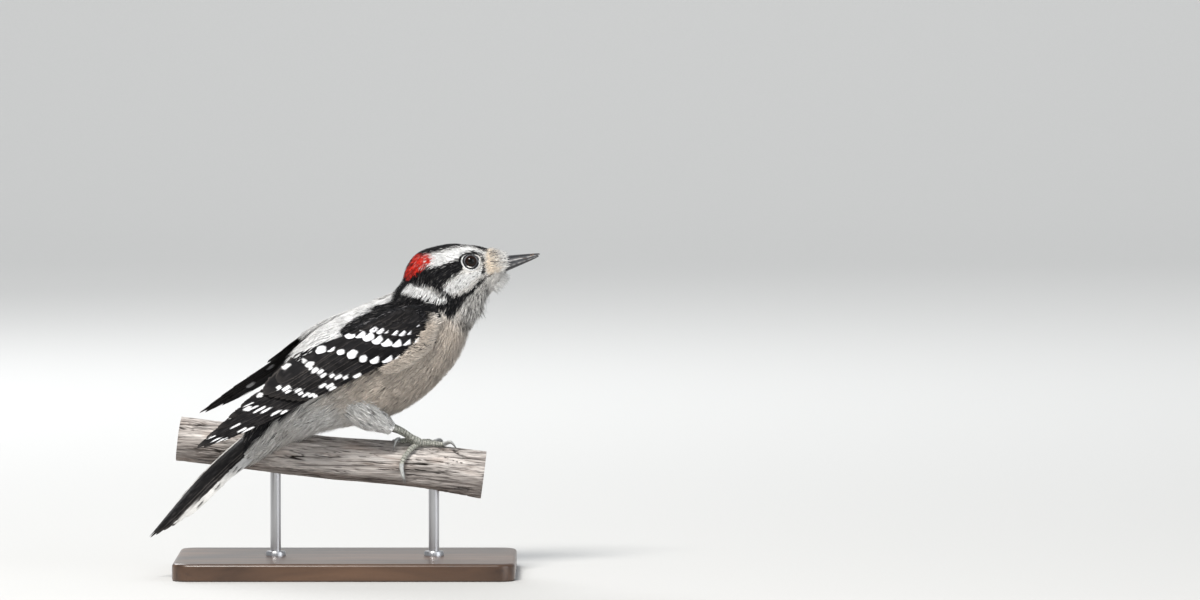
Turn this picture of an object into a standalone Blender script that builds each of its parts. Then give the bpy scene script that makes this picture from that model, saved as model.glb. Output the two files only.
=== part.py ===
"""A male downy woodpecker, life size and still, gripping a cut length of dead branch on a plain display stand.

The bird faces +X, its right side faces -Y, and +Z is up. The origin is the middle of the stand's underside.
Sizes below are in millimetres; finish_mesh() turns them into the scene's metres.
"""

import math

import bpy
import bmesh
import numpy as np

MM = 0.001
GAP = 0.35             # clearance between pieces that meet
RING = 24              # points round a body section

# ---------------------------------------------------------------- stand and perch
BASE_SIZE = (116.0, 72.0, 6.0)
BASE_CORNER = 14.0
BASE_BEVEL = 1.2
ROD_RADIUS = 1.8
ROD_DEPTH = 3.0        # how far a rod enters the base and the perch
ROD_X = (-24.0, 30.0)
PERCH_LINE = ((-57.0, 0.6, 46.2), (-32.0, 0.2, 43.0), (-6.0, 0.0, 39.6), (20.0, 0.0, 37.1), (47.0, 0.4, 33.7))
PERCH_RADIUS = (7.9, 7.7, 7.6, 7.8, 8.5)

# ---------------------------------------------------------------- body: one form from vent to bill base
# x, y, z of the middle, half width, height above it, height below it, roll towards the right side in degrees
BODY = (
    (-38.6, -15.6, 36.8, 1.0, 0.8, 0.8, 27),
    (-35.0, -14.6, 40.4, 3.8, 2.6, 3.4, 26),
    (-30.6, -13.2, 44.8, 6.4, 4.8, 5.0, 25),
    (-24.6, -11.2, 52.0, 10.0, 8.4, 8.8, 23),
    (-15.2, -8.8, 59.8, 14.0, 13.5, 13.4, 20),
    (-2.4, -6.1, 67.6, 17.0, 18.0, 18.8, 18),
    (13.0, -3.2, 74.8, 17.6, 18.9, 20.6, 16),
    (25.0, -1.2, 83.2, 15.6, 16.2, 17.6, 13),
    (31.4, -0.2, 92.0, 12.0, 15.2, 14.8, 9),
    (35.6, 0.4, 98.2, 10.8, 16.3, 14.8, 6),
    (39.6, 0.6, 101.6, 10.5, 12.8, 13.6, 4),
    (44.2, 0.7, 103.8, 9.4, 9.2, 11.0, 3),
    (48.8, 0.7, 105.2, 6.9, 6.5, 8.4, 3),
    (52.6, 0.7, 106.2, 4.6, 3.8, 5.4, 3),
    (55.6, 0.7, 106.7, 2.4, 1.7, 2.8, 3),
)
BODY_RINGS = 36
HEAD_CUT = (36.2, 0.4, 97.2)       # a point on the plane that parts head and neck
HEAD_CUT_AXIS = (0.72, 0.0, 0.69)
NECK_CUT = (29.6, -0.4, 90.0)      # a point on the plane that parts neck and trunk
NECK_CUT_AXIS = (0.58, 0.03, 0.81)

# ---------------------------------------------------------------- bill and eyes
BILL_TIP = (66.2, 0.9, 108.8)
BILL_ROOT = (50.0, 0.7, 104.7)     # inside the face, where the two halves start
BILL_HEIGHT = 6.0
BILL_WIDTH = 5.2
EYE_MIDDLE = (42.6, 0.7, 106.9)
EYE_SPREAD = 7.2                   # from the head's middle to an eye's centre
EYE_RADIUS = 2.35

# ---------------------------------------------------------------- wings, in the body's own frame
BODY_ORIGIN = (12.0, -3.3, 76.0)
BODY_PITCH, BODY_YAW, BODY_ROLL = 28.7, 11.0, 18.0
# forward, sideways and up of the upper edge, the same of the lower edge, outward bulge, thickness
WING = (
    (22.6, -10.8, 9.8, 22.6, -11.4, 8.0, 0.3, 1.2),
    (18.9, -11.2, 12.6, 18.5, -13.8, 4.8, 1.6, 2.0),
    (11.0, -10.8, 14.9, 11.8, -16.5, 2.6, 2.8, 2.4),
    (-3.0, -9.9, 15.4, -1.0, -18.8, 2.6, 3.2, 2.4),
    (-17.6, -8.5, 15.8, -13.0, -19.6, 4.6, 3.2, 2.4),
    (-29.0, -7.9, 15.6, -25.4, -19.2, 5.9, 2.8, 2.2),
    (-40.6, -9.3, 14.6, -37.6, -18.0, 6.4, 2.2, 2.0),
    (-52.0, -11.0, 12.6, -50.5, -16.8, 6.6, 1.4, 1.6),
    (-62.4, -12.6, 11.0, -61.5, -15.4, 7.4, 0.6, 1.3),
    (-73.0, -13.5, 9.1, -72.8, -13.9, 8.3, 0.1, 0.9),
)
WING_RINGS = 22
WING_ACROSS = 8
WING_EDGE = 0.7                    # least thickness of a wing where it lies on the body
WING_CLEAR = GAP + 0.15            # from the body's true surface to a wing's inner face
WING_HINGE = (16.0, 14.0, 8.0)     # where the left wing is lifted a little from the mirror image of the right
WING_LIFT, WING_TOE_IN = 1.8, 2.0  # degrees
WING_SHIFT = (8.0, -2.2)           # and then moved forward and down by this much
WING_SPREAD = 3.6                  # how much deeper its folded flight feathers are than the right wing's
WING_SPREAD_AT = -51.0             # and how far back that is greatest
WING_TUCK = 0.25                   # share of the left wing's front that lies under the back feathers
WING_TUCK_END = -30.0              # and how far back that ends

# ---------------------------------------------------------------- tail
TAIL_ROOT = (-24.0, -11.0, 55.4)
TAIL_TIP = (-65.8, -25.4, 14.1)
TAIL_ROLL = 29.0
TAIL_PITCH_OF_HALVES = 25.0        # how steeply each half slopes from the ridge
TAIL_WIDTHS = (3.0, 5.2, 6.4, 6.9, 6.9, 6.6, 5.9, 4.5, 2.6, 0.7)   # of one half, from root to tip
TAIL_THICKNESS = 1.3

# ---------------------------------------------------------------- legs, right then left
ANKLE = ((13.6, -9.2, 51.0), (13.6, 6.6, 50.6))
HUB = ((24.8, 25.0), (24.2, -35.0))           # where the toes meet: x, and angle round the perch from its top
HUB_HEIGHT = 1.5                              # of the hub's middle over the perch's surface
TARSUS_RADIUS, HUB_RADIUS = 1.1, 1.55
TOE_RADIUS = 0.95
CLAW_ARCH, CLAW_TIP_HEIGHT = 2.3, 0.65        # of a claw's middle and tip over the perch's surface
CLAW_START = 0.65                             # from a toe's end to its claw, along their bend
THIGH = (
    ((-2.0, -11.6, 64.0, 9.0), (4.0, -11.8, 58.4, 7.4), (9.0, -10.8, 54.2, 5.2),
     (12.8, -9.7, 51.7, 3.3), (15.4, -8.6, 49.9, 2.1)),
    ((-2.0, 3.6, 66.0, 8.6), (4.0, 5.4, 59.6, 7.0), (9.0, 6.4, 54.4, 5.0),
     (12.8, 6.7, 51.2, 3.2), (15.2, 6.6, 49.4, 2.1)),
)
# toe: x step and turn round the perch from the hub, at its middle knuckle, its end and its claw's tip
TOES = (
    {"outer_back": ((-3.0, 26.0), (-5.6, 62.0), (-4.2, 112.0)),
     "inner_back": ((-3.4, -8.0), (-6.6, -6.0), (-8.6, 30.0)),
     "outer_front": ((4.2, -6.0), (8.8, -11.0), (13.2, 3.0)),
     "inner_front": ((2.8, -26.0), (5.6, -42.0), (9.0, -54.0))},
    {"outer_back": ((-3.0, -28.0), (-5.2, -62.0), (-3.6, -108.0)),
     "inner_back": ((-3.8, 4.0), (-7.0, 1.0), (-9.6, -25.0)),
     "outer_front": ((4.0, -14.0), (8.6, -22.0), (12.4, -44.0)),
     "inner_front": ((3.6, 6.0), (7.0, -2.0), (10.6, -16.0))},
)
SIDES = ("right", "left")

COLOURS = {
    "feather_black": ((0.03, 0.03, 0.035), 0.7, 0.0),
    "feather_pale": ((0.62, 0.57, 0.50), 0.8, 0.0),
    "bill_horn": ((0.12, 0.12, 0.13), 0.35, 0.0),
    "eye_dark": ((0.03, 0.012, 0.01), 0.05, 0.0),
    "scaled_skin": ((0.30, 0.31, 0.26), 0.55, 0.0),
    "claw_horn": ((0.22, 0.22, 0.21), 0.35, 0.0),
    "weathered_wood": ((0.42, 0.38, 0.35), 0.85, 0.0),
    "stand_wood": ((0.10, 0.06, 0.04), 0.4, 0.0),
    "stand_steel": ((0.55, 0.55, 0.56), 0.3, 1.0),
}


def material(name):
    """The shared Principled material of that name."""
    made = bpy.data.materials.get(name)
    if made is None:
        colour, roughness, metallic = COLOURS[name]
        made = bpy.data.materials.new(name)
        made.use_nodes = True
        shader = made.node_tree.nodes["Principled BSDF"]
        shader.inputs["Base Color"].default_value = (*colour, 1)
        shader.inputs["Roughness"].default_value = roughness
        shader.inputs["Metallic"].default_value = metallic
    return made


def clear_scene():
    for old in list(bpy.data.objects):
        bpy.data.objects.remove(old, do_unlink=True)


# ---------------------------------------------------------------- curves and frames
def unit(v):
    v = np.asarray(v, float)
    return v / np.linalg.norm(v)


def smooth_rows(rows, count):
    """A Catmull-Rom curve through rows of numbers, read at count even steps of their places' chord length."""
    rows = np.array(rows, float)
    chord = np.linalg.norm(np.diff(rows[:, :3], axis=0), axis=1)
    at = np.concatenate([[0], np.cumsum(chord)]) / chord.sum()
    slopes = np.gradient(rows, at, axis=0)
    t = np.linspace(0, 1, count)
    k = np.clip(np.searchsorted(at, t, side="right") - 1, 0, len(rows) - 2)
    span = (at[k + 1] - at[k])[:, None]
    u = (t - at[k])[:, None] / span
    return ((2 * u**3 - 3 * u**2 + 1) * rows[k] + (u**3 - 2 * u**2 + u) * span * slopes[k]
            + (3 * u**2 - 2 * u**3) * rows[k + 1] + (u**3 - u**2) * span * slopes[k + 1])


def frames_along(line, roll_deg):
    """Left and up at each point of a line, level from side to side before the roll is added."""
    ahead = np.gradient(line, axis=0)
    ahead /= np.linalg.norm(ahead, axis=1)[:, None]
    left = np.cross((0, 0, 1), ahead)
    left /= np.linalg.norm(left, axis=1)[:, None]
    up = np.cross(ahead, left)
    roll = np.radians(roll_deg)[:, None]
    return left * np.cos(roll) + up * np.sin(roll), up * np.cos(roll) - left * np.sin(roll)


def body_axes():
    """Rows forward, left and up of the body's own frame."""
    pitch, yaw, roll = np.radians((BODY_PITCH, BODY_YAW, BODY_ROLL))
    forward = np.array((np.cos(pitch) * np.cos(yaw), np.cos(pitch) * np.sin(yaw), np.sin(pitch)))
    level = np.array((-np.sin(yaw), np.cos(yaw), 0.0))
    top = np.cross(forward, level)
    left = level * np.cos(roll) + top * np.sin(roll)
    return np.array((forward, left, np.cross(forward, left)))


def perch_at(x):
    """Middle and radius of the perch at an x."""
    line = smooth_rows([(*p, r) for p, r in zip(PERCH_LINE, PERCH_RADIUS)], 200)
    return np.array([np.interp(x, line[:, 0], line[:, k]) for k in (1, 2, 3)])


def over_perch(x, angle_deg, height):
    """A point that far over the perch's surface, the angle taken from its top towards the right side."""
    y, z, radius = perch_at(x)
    a = math.radians(angle_deg)
    return np.array((x, y - (radius + height) * math.sin(a), z + (radius + height) * math.cos(a)))


# ---------------------------------------------------------------- meshes
def finish_mesh(name, vertices, faces, slot, hidden=False):
    mesh = bpy.data.meshes.new(name)
    mesh.from_pydata((np.asarray(vertices, float) * MM).tolist(), [], faces)
    shell = bmesh.new()
    shell.from_mesh(mesh)
    bmesh.ops.recalc_face_normals(shell, faces=shell.faces)
    shell.to_mesh(mesh)
    shell.free()
    mesh.shade_smooth()
    mesh.set_sharp_from_angle(angle=math.radians(50))
    mesh.materials.append(material(slot))
    made = bpy.data.objects.new(name, mesh)
    bpy.context.scene.collection.objects.link(made)
    if hidden:
        made.hide_render = True
        made.display_type = "WIRE"
    return made


def skin_rings(name, rings, slot, hidden=False):
    """A closed solid through rings of points, all with the same count, with a fan of faces at each end."""
    rings = np.asarray(rings, float)
    count, around = rings.shape[:2]
    ends = [rings[0].mean(axis=0), rings[-1].mean(axis=0)]
    vertices = np.concatenate([rings.reshape(-1, 3), ends])
    first, last = count * around, count * around + 1
    faces = []
    for j in range(around):
        k = (j + 1) % around
        faces += [(i * around + j, i * around + k, (i + 1) * around + k, (i + 1) * around + j)
                  for i in range(count - 1)]
        faces.append((first, k, j))
        faces.append((last, (count - 1) * around + j, (count - 1) * around + k))
    return finish_mesh(name, vertices, faces, slot, hidden)


def tube(name, line, radii, slot, around=10, hidden=False, flatten=1.0):
    """A round tube along a line, with its radius at each point; flatten squeezes it from top to bottom."""
    line = np.asarray(line, float)
    ahead = np.gradient(line, axis=0)
    ahead /= np.linalg.norm(ahead, axis=1)[:, None]
    side = np.cross(ahead, (0.13, 0.31, 0.94))
    side /= np.linalg.norm(side, axis=1)[:, None]
    top = np.cross(side, ahead)
    a = np.linspace(0, 2 * np.pi, around, endpoint=False)[None, :, None]
    radii = np.asarray(radii, float)[:, None, None]
    rings = line[:, None] + radii * (np.cos(a) * side[:, None] + flatten * np.sin(a) * top[:, None])
    return skin_rings(name, rings, slot, hidden)


def cut(target, cutter, operation="DIFFERENCE"):
    change = target.modifiers.new(cutter.name, "BOOLEAN")
    change.operation = operation
    change.solver = "EXACT"
    change.object = cutter


# ---------------------------------------------------------------- head, neck and trunk
def body_rings(grow):
    """Sections of the whole body, larger all round by grow."""
    rows = smooth_rows(BODY, BODY_RINGS)
    left, up = frames_along(rows[:, :3], rows[:, 6])
    a = np.linspace(0, 2 * np.pi, RING, endpoint=False)
    half = np.where(np.sin(a) > 0, rows[:, 4:5], rows[:, 5:6]) + grow
    width = rows[:, 3:4] + grow
    rings = (rows[:, None, :3] + (width * np.cos(a))[:, :, None] * left[:, None]
             + (half * np.sin(a))[:, :, None] * up[:, None])
    step = unit(rows[1, :3] - rows[0, :3]) * grow
    rings[0] -= step
    rings[-1] += unit(rows[-1, :3] - rows[-2, :3]) * grow
    return rings


def parting_block(name, point, axis, behind, ahead):
    """A hidden block between two distances along an axis, wide enough to take in the whole body."""
    axis = unit(axis)
    side = unit(np.cross((0, 1, 0), axis))
    reach = 60.0
    corners = [np.array(point) + axis * d + side * s * reach + np.array((0, 1, 0)) * t * reach
               for d in (behind, ahead) for s, t in ((-1, -1), (1, -1), (1, 1), (-1, 1))]
    faces = [(0, 1, 2, 3), (7, 6, 5, 4), (0, 4, 5, 1), (1, 5, 6, 2), (2, 6, 7, 3), (3, 7, 4, 0)]
    return finish_mesh(name, corners, faces, "feather_pale", hidden=True)


def make_body():
    far = 150.0
    rings = body_rings(0.0)
    head = skin_rings("head", rings, "feather_black")
    cut(head, parting_block("cut_behind_head", HEAD_CUT, HEAD_CUT_AXIS, -far, GAP / 2))
    neck = skin_rings("neck", rings, "feather_black")
    cut(neck, parting_block("cut_ahead_of_neck", HEAD_CUT, HEAD_CUT_AXIS, -GAP / 2, far))
    cut(neck, parting_block("cut_behind_neck", NECK_CUT, NECK_CUT_AXIS, -far, GAP / 2))
    trunk = skin_rings("trunk", rings, "feather_pale")
    cut(trunk, parting_block("cut_ahead_of_trunk", NECK_CUT, NECK_CUT_AXIS, -GAP / 2, far))
    return head, neck, trunk


# ---------------------------------------------------------------- bill and eyes
def bill_half(name, upper, grow=0.0, hidden=False):
    """One half of the bill: a wedge that narrows to a chisel tip, ridged outside and flat where the halves meet."""
    root, tip = np.array(BILL_ROOT), np.array(BILL_TIP)
    axis = unit(tip - root)
    side = unit(np.cross((0, 0, 1), axis))
    top = np.cross(axis, side) * (1 if upper else -1)
    length = np.linalg.norm(tip - root) * (1.0 if upper else 0.965)
    rings = []
    for t in np.linspace(0, 1, 12):
        taper = (1 - t) ** 0.86
        width = 0.5 * BILL_WIDTH * (0.12 + 0.88 * taper) + grow
        height = BILL_HEIGHT / 2 * (0.16 + 0.84 * taper) + grow
        middle = root + axis * length * t + top * (GAP / 2 - grow)
        if grow and t in (0, 1):
            middle = middle + axis * grow * (1 if t else -1)
        a = np.linspace(0, np.pi, 9)
        ridge = np.abs(np.cos(a)) ** 0.9 * np.sign(np.cos(a))
        arch = middle + width * ridge[:, None] * side + (height + grow) * np.sin(a)[:, None] ** 1.15 * top
        rings.append(arch)
    return skin_rings(name, rings, "bill_horn", hidden)


def eye_ball(side_name, grow=0.0, hidden=False):
    sign = -1 if side_name == "right" else 1
    centre = np.array(EYE_MIDDLE) + (0, sign * EYE_SPREAD, 0)
    name = f"cut_eye_{side_name}" if hidden else f"eye_{side_name}"
    angles = np.linspace(0, np.pi, 10)
    around = np.linspace(0, 2 * np.pi, 14, endpoint=False)
    radius = EYE_RADIUS + grow
    rings = [centre + radius * np.array([(np.sin(p) * np.cos(q), -np.cos(p), np.sin(p) * np.sin(q)) for q in around])
             for p in angles[1:-1]]
    return skin_rings(name, rings, "eye_dark", hidden)


def make_face(head):
    for upper, name in ((True, "bill_upper"), (False, "bill_lower")):
        bill_half(name, upper)
        cut(head, bill_half(f"cut_{name}", upper, GAP, hidden=True))
    for side_name in SIDES:
        eye_ball(side_name)
        cut(head, eye_ball(side_name, GAP, hidden=True))


# ---------------------------------------------------------------- wings
def clear_of_body(points, clearance):
    """Points moved out from the body's middle line until they are that far from its surface."""
    rows = smooth_rows(BODY, 160)
    left, up = frames_along(rows[:, :3], rows[:, 6])
    flat = points.reshape(-1, 3)
    k = np.argmin(np.linalg.norm(flat[:, None] - rows[None, :, :3], axis=2), axis=1)
    offset = flat - rows[k, :3]
    across, above = (offset * left[k]).sum(axis=1), (offset * up[k]).sum(axis=1)
    share = np.hypot(across / rows[k, 3], above / np.where(above > 0, rows[k, 4], rows[k, 5]))
    radius = np.hypot(across, above)
    short = np.maximum(radius / share + clearance - radius, 0) * (k > 0)
    push = across[:, None] * left[k] + above[:, None] * up[k]
    return (flat + push * (short / radius)[:, None]).reshape(points.shape)


def wing_rings(left_side):
    """Sections across a folded wing: an outer arc between its two edges, and an inner arc a thickness below."""
    rows = smooth_rows(WING, WING_RINGS)
    axes = body_axes()
    v = np.linspace(0, 1, WING_ACROSS)
    upper, lower, bulge, thick = rows[:, 0:3], rows[:, 3:6], rows[:, 6], rows[:, 7]
    if left_side:
        lower[:, 2] -= WING_SPREAD * np.exp(-(((lower[:, 0] - WING_SPREAD_AT) / 15) ** 2))
        tuck = WING_TUCK * np.clip((upper[:, 0] - WING_TUCK_END) / 20, 0, 1)
        upper += tuck[:, None] * (lower - upper)
    chord = lower - upper
    out = np.cross(chord, (1.0, 0, 0))
    out /= np.linalg.norm(out, axis=1)[:, None]
    out *= np.where(out[:, 1:2] > 0, -1, 1)
    arc = 4 * v * (1 - v)
    outer = upper[:, None] + v[:, None] * chord[:, None] + (bulge[:, None] * arc)[:, :, None] * out[:, None]
    rounded = 0.45 + 0.55 * np.sqrt(arc)
    inner = outer - (thick[:, None] * rounded)[:, :, None] * out[:, None]
    faces = [outer, inner]
    if left_side:
        hinge = np.array(WING_HINGE)
        lift, turn = np.radians((WING_LIFT, WING_TOE_IN))
        for n, face in enumerate(faces):
            ahead, sideways, up = np.moveaxis(face * (1, -1, 1) - hinge, -1, 0)
            ahead, up = ahead * np.cos(lift) + up * np.sin(lift), up * np.cos(lift) - ahead * np.sin(lift)
            ahead, sideways = (ahead * np.cos(turn) - sideways * np.sin(turn),
                               sideways * np.cos(turn) + ahead * np.sin(turn))
            faces[n] = hinge + np.stack([ahead + WING_SHIFT[0], sideways, up + WING_SHIFT[1]], axis=-1)
    outer, inner = [np.array(BODY_ORIGIN) + face @ axes for face in faces]
    outer = clear_of_body(outer, WING_CLEAR + WING_EDGE)
    inner = clear_of_body(inner, WING_CLEAR)
    return np.concatenate([outer, inner[:, ::-1]], axis=1)


def make_wings():
    for side_name in SIDES:
        skin_rings(f"wing_{side_name}", wing_rings(side_name == "left"), "feather_black")


# ---------------------------------------------------------------- tail
def tail_rings(grow):
    """Sections of the folded tail: two flat halves that slope down from a ridge like a roof."""
    root, tip = np.array(TAIL_ROOT), np.array(TAIL_TIP)
    count = len(TAIL_WIDTHS)
    t = np.linspace(0, 1, count)
    sag = -1.6 * np.sin(np.pi * t) ** 2
    line = root + t[:, None] * (tip - root)
    left, up = frames_along(line[::-1], np.full(count, TAIL_ROLL))
    left, up = left[::-1], up[::-1]
    line = line - sag[:, None] * up
    slope = math.radians(TAIL_PITCH_OF_HALVES)
    rings = []
    for k in range(count):
        w, thick = TAIL_WIDTHS[k] + grow, TAIL_THICKNESS * (0.62 + 0.38 * (1 - t[k])) + 2 * grow
        fall, reach = w * math.sin(slope), w * math.cos(slope)
        top = line[k] + up[k] * grow
        across = [(-1, 1), (-0.5, 0.5), (0, 0), (0.5, 0.5), (1, 1)]
        outer = [top + left[k] * reach * s - up[k] * fall * d for s, d in across]
        inner = [p - up[k] * thick for p in outer[::-1]]
        rings.append(outer + inner)
    rings = np.array(rings)
    rings[0] += unit(root - tip) * grow
    rings[-1] += unit(tip - root) * grow
    return rings


def make_tail(trunk, perch_room):
    tail = skin_rings("tail", tail_rings(0.0), "feather_black")
    cut(trunk, skin_rings("cut_tail", tail_rings(GAP), "feather_black", hidden=True))
    cut(tail, perch_room)


# ---------------------------------------------------------------- perch and stand
def perch_rings(grow):
    """Sections of the dead branch, a little out of round, with low ribs that wander along it."""
    rows = smooth_rows([(*p, r) for p, r in zip(PERCH_LINE, PERCH_RADIUS)], 18)
    line, radius = rows[:, :3], rows[:, 3]
    left, up = frames_along(line, np.zeros(len(line)))
    a = np.linspace(0, 2 * np.pi, 20, endpoint=False)
    s = np.linspace(0, 1, len(line))[:, None]
    wander = 0.22 * np.sin(3 * a + 5 * s) + 0.16 * np.sin(5 * a - 9 * s + 1.0) - 0.38
    r = radius[:, None] + wander + grow
    rings = line[:, None] + (r * np.cos(a))[:, :, None] * left[:, None] + (r * np.sin(a))[:, :, None] * up[:, None]
    rings[0] -= unit(line[1] - line[0]) * grow
    rings[-1] += unit(line[-1] - line[-2]) * grow
    return rings


def make_perch():
    perch = skin_rings("perch", perch_rings(0.0), "weathered_wood")
    room = skin_rings("cut_perch", perch_rings(GAP), "weathered_wood", hidden=True)
    return perch, room


def rounded_plate(size, corner, steps=6):
    """Corner points of a rectangle with round corners, anticlockwise."""
    points = []
    for k, (sx, sy) in enumerate(((1, 1), (-1, 1), (-1, -1), (1, -1))):
        middle = (sx * (size[0] / 2 - corner), sy * (size[1] / 2 - corner))
        for step in range(steps + 1):
            a = math.radians(90 * k + 90 * step / steps)
            points.append((middle[0] + corner * math.cos(a), middle[1] + corner * math.sin(a)))
    return points


def make_stand(perch):
    outline = rounded_plate(BASE_SIZE, BASE_CORNER)
    inner = rounded_plate((BASE_SIZE[0] - 2 * BASE_BEVEL, BASE_SIZE[1] - 2 * BASE_BEVEL), BASE_CORNER - BASE_BEVEL)
    levels = ((outline, 0.0), (outline, BASE_SIZE[2] - BASE_BEVEL), (inner, BASE_SIZE[2]))
    rings = [[(x, y, z) for x, y in points] for points, z in levels]
    base = skin_rings("stand_base", rings, "stand_wood")
    for k, x in enumerate(ROD_X):
        y, z, radius = perch_at(x)
        low, high = BASE_SIZE[2] - ROD_DEPTH, z - radius + ROD_DEPTH
        ends = ((x, y, low), (x, y, (low + high) / 2), (x, y, high))
        tube(f"stand_rod_{k + 1}", ends, (ROD_RADIUS,) * 3, "stand_steel", around=16)
        grown = ((x, y, low - GAP), (x, y, (low + high) / 2), (x, y, high + GAP))
        socket = tube(f"cut_rod_{k + 1}", grown, (ROD_RADIUS + GAP,) * 3, "stand_steel", around=16, hidden=True)
        cut(base, socket)
        cut(perch, socket)


# ---------------------------------------------------------------- legs and feet
def toe_line(hub, stops, count):
    """Points of a toe and of its claw: one bent line from the hub to the claw's tip, parted at the toe's end."""
    x, angle = hub
    knuckle, end, tip = [(x + dx, angle + turn) for dx, turn in stops]
    middle = [(p + q) / 2 for p, q in zip(end, tip)]
    lift = TOE_RADIUS + GAP
    places = [over_perch(x, angle, lift), over_perch(*knuckle, lift), over_perch(*end, lift),
              over_perch(*middle, CLAW_ARCH), over_perch(*tip, CLAW_TIP_HEIGHT)]
    line = smooth_rows(places, 120)
    parting = int(np.argmin(np.linalg.norm(line - places[2], axis=1)))
    run = np.cumsum(np.linalg.norm(np.diff(line, axis=0, prepend=line[:1]), axis=1))
    start = int(np.searchsorted(run, run[parting] + CLAW_START))
    toe = line[np.linspace(0, parting, count).astype(int)]
    return toe, line[np.linspace(start, len(line) - 1, count).astype(int)]


def make_leg(k, room_for_thigh):
    side_name = SIDES[k]
    hub = over_perch(*HUB[k], HUB_HEIGHT)
    ankle = np.array(ANKLE[k])
    bow = (ankle + hub) / 2 + (0, 0, 0.9)
    shin = smooth_rows([ankle, bow, hub, hub + unit(hub - bow) * 1.2], 9)
    along = np.linspace(0, 1, len(shin))
    swell = TARSUS_RADIUS + 0.35 * np.exp(-((along / 0.16) ** 2))
    swell += (HUB_RADIUS - TARSUS_RADIUS) * np.exp(-(((along - 0.9) / 0.14) ** 2)) - 0.5 * (along == 1)
    tube(f"tarsus_{side_name}", shin, swell, "scaled_skin")
    shin_room = tube(f"cut_tarsus_{side_name}", shin, swell + GAP, "scaled_skin", hidden=True)
    flesh = smooth_rows(THIGH[k], 14)
    thigh = tube(f"thigh_{side_name}", flesh[:, :3], flesh[:, 3], "feather_pale", around=18)
    cut(thigh, room_for_thigh)
    cut(thigh, shin_room)
    rooms = [shin_room]
    for toe_name, stops in TOES[k].items():
        toe, claw = toe_line(HUB[k], stops, 7)
        t = np.linspace(0, 1, 7)
        knuckles = TOE_RADIUS * (1.0 - 0.16 * t + 0.10 * np.cos(6 * np.pi * t))
        piece = tube(f"toe_{toe_name}_{side_name}", toe, knuckles, "scaled_skin", around=8)
        for room in rooms:
            cut(piece, room)
        rooms.append(tube(f"cut_toe_{toe_name}_{side_name}", toe, knuckles + GAP, "scaled_skin", 8, hidden=True))
        tube(f"claw_{toe_name}_{side_name}", claw, 0.82 * (1 - 0.82 * t**1.2), "claw_horn", around=8)


def main():
    clear_scene()
    head, neck, trunk = make_body()
    make_face(head)
    make_wings()
    body_room = skin_rings("cut_body_from_thighs", body_rings(GAP), "feather_pale", hidden=True)
    perch, perch_room = make_perch()
    make_tail(trunk, perch_room)
    cut(trunk, perch_room)
    make_stand(perch)
    for k in range(2):
        make_leg(k, body_room)


main()
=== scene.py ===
# %% [markdown]
# The frame.
# This model is a downy woodpecker, life size, gripping a cut length of branch on a small stand. The packed
# frame gives the true place and size of each solid, so every piece below is drawn in the frame's own
# coordinates, in millimetres, rides on its one body and hides the solids it stands in for. One seeded
# generator is used all the way through, so that each run lays the same feathers.

# %% The frame
import math
from collections import namedtuple
import bpy
import numpy as np
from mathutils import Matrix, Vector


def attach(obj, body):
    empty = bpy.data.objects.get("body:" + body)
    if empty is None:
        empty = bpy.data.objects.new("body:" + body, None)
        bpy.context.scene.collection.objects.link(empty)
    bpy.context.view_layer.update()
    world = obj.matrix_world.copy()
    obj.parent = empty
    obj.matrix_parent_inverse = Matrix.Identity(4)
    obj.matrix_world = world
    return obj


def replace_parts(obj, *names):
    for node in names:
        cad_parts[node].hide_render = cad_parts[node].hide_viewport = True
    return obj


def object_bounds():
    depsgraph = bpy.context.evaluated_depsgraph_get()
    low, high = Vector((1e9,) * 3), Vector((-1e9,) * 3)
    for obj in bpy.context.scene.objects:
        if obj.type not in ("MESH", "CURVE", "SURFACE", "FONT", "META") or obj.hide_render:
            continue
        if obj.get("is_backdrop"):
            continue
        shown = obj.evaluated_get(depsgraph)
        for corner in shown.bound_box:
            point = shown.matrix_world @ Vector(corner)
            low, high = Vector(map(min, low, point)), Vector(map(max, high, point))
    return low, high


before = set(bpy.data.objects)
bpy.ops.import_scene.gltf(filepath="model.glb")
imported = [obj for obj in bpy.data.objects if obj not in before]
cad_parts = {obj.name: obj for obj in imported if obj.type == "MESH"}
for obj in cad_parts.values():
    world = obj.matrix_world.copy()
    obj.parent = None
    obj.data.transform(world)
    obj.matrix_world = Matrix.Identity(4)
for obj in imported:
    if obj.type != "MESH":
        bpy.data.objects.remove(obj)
cad_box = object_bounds()
MM = 0.001
dice = np.random.default_rng(7)
print("nodes in the frame:", len(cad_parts))


# %% [markdown]
# Camera, floor and light.
# A small animal looks right through a long lens from a few metres away, nearly level with it, because a short
# lens would swell the near wing. The floor is one sheet that curves up far behind the model, so that no edge
# shows where it ends. Studio light is one broad lamp above and in front, a weaker one from the other side, a
# narrow one behind that draws a rim along the back, and a pale sky that fills the shadows.

# %% Camera
def unit(v):
    """Vectors divided by their own lengths."""
    v = np.asarray(v, float)
    return v / np.maximum(np.linalg.norm(v, axis=-1, keepdims=True), 1e-12)


def link(obj):
    bpy.context.scene.collection.objects.link(obj)
    return obj


def aim(obj, place, target):
    """Puts an object at a place and turns its own minus Z towards a target, with its Y up."""
    back = unit(np.subtract(place, target))
    side = unit(np.cross((0, 0, 1), back))
    matrix = np.eye(4)
    matrix[:3, :3] = np.stack([side, np.cross(back, side), back], axis=1)
    matrix[:3, 3] = place
    obj.matrix_world = matrix.T.tolist()
    return obj


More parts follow.
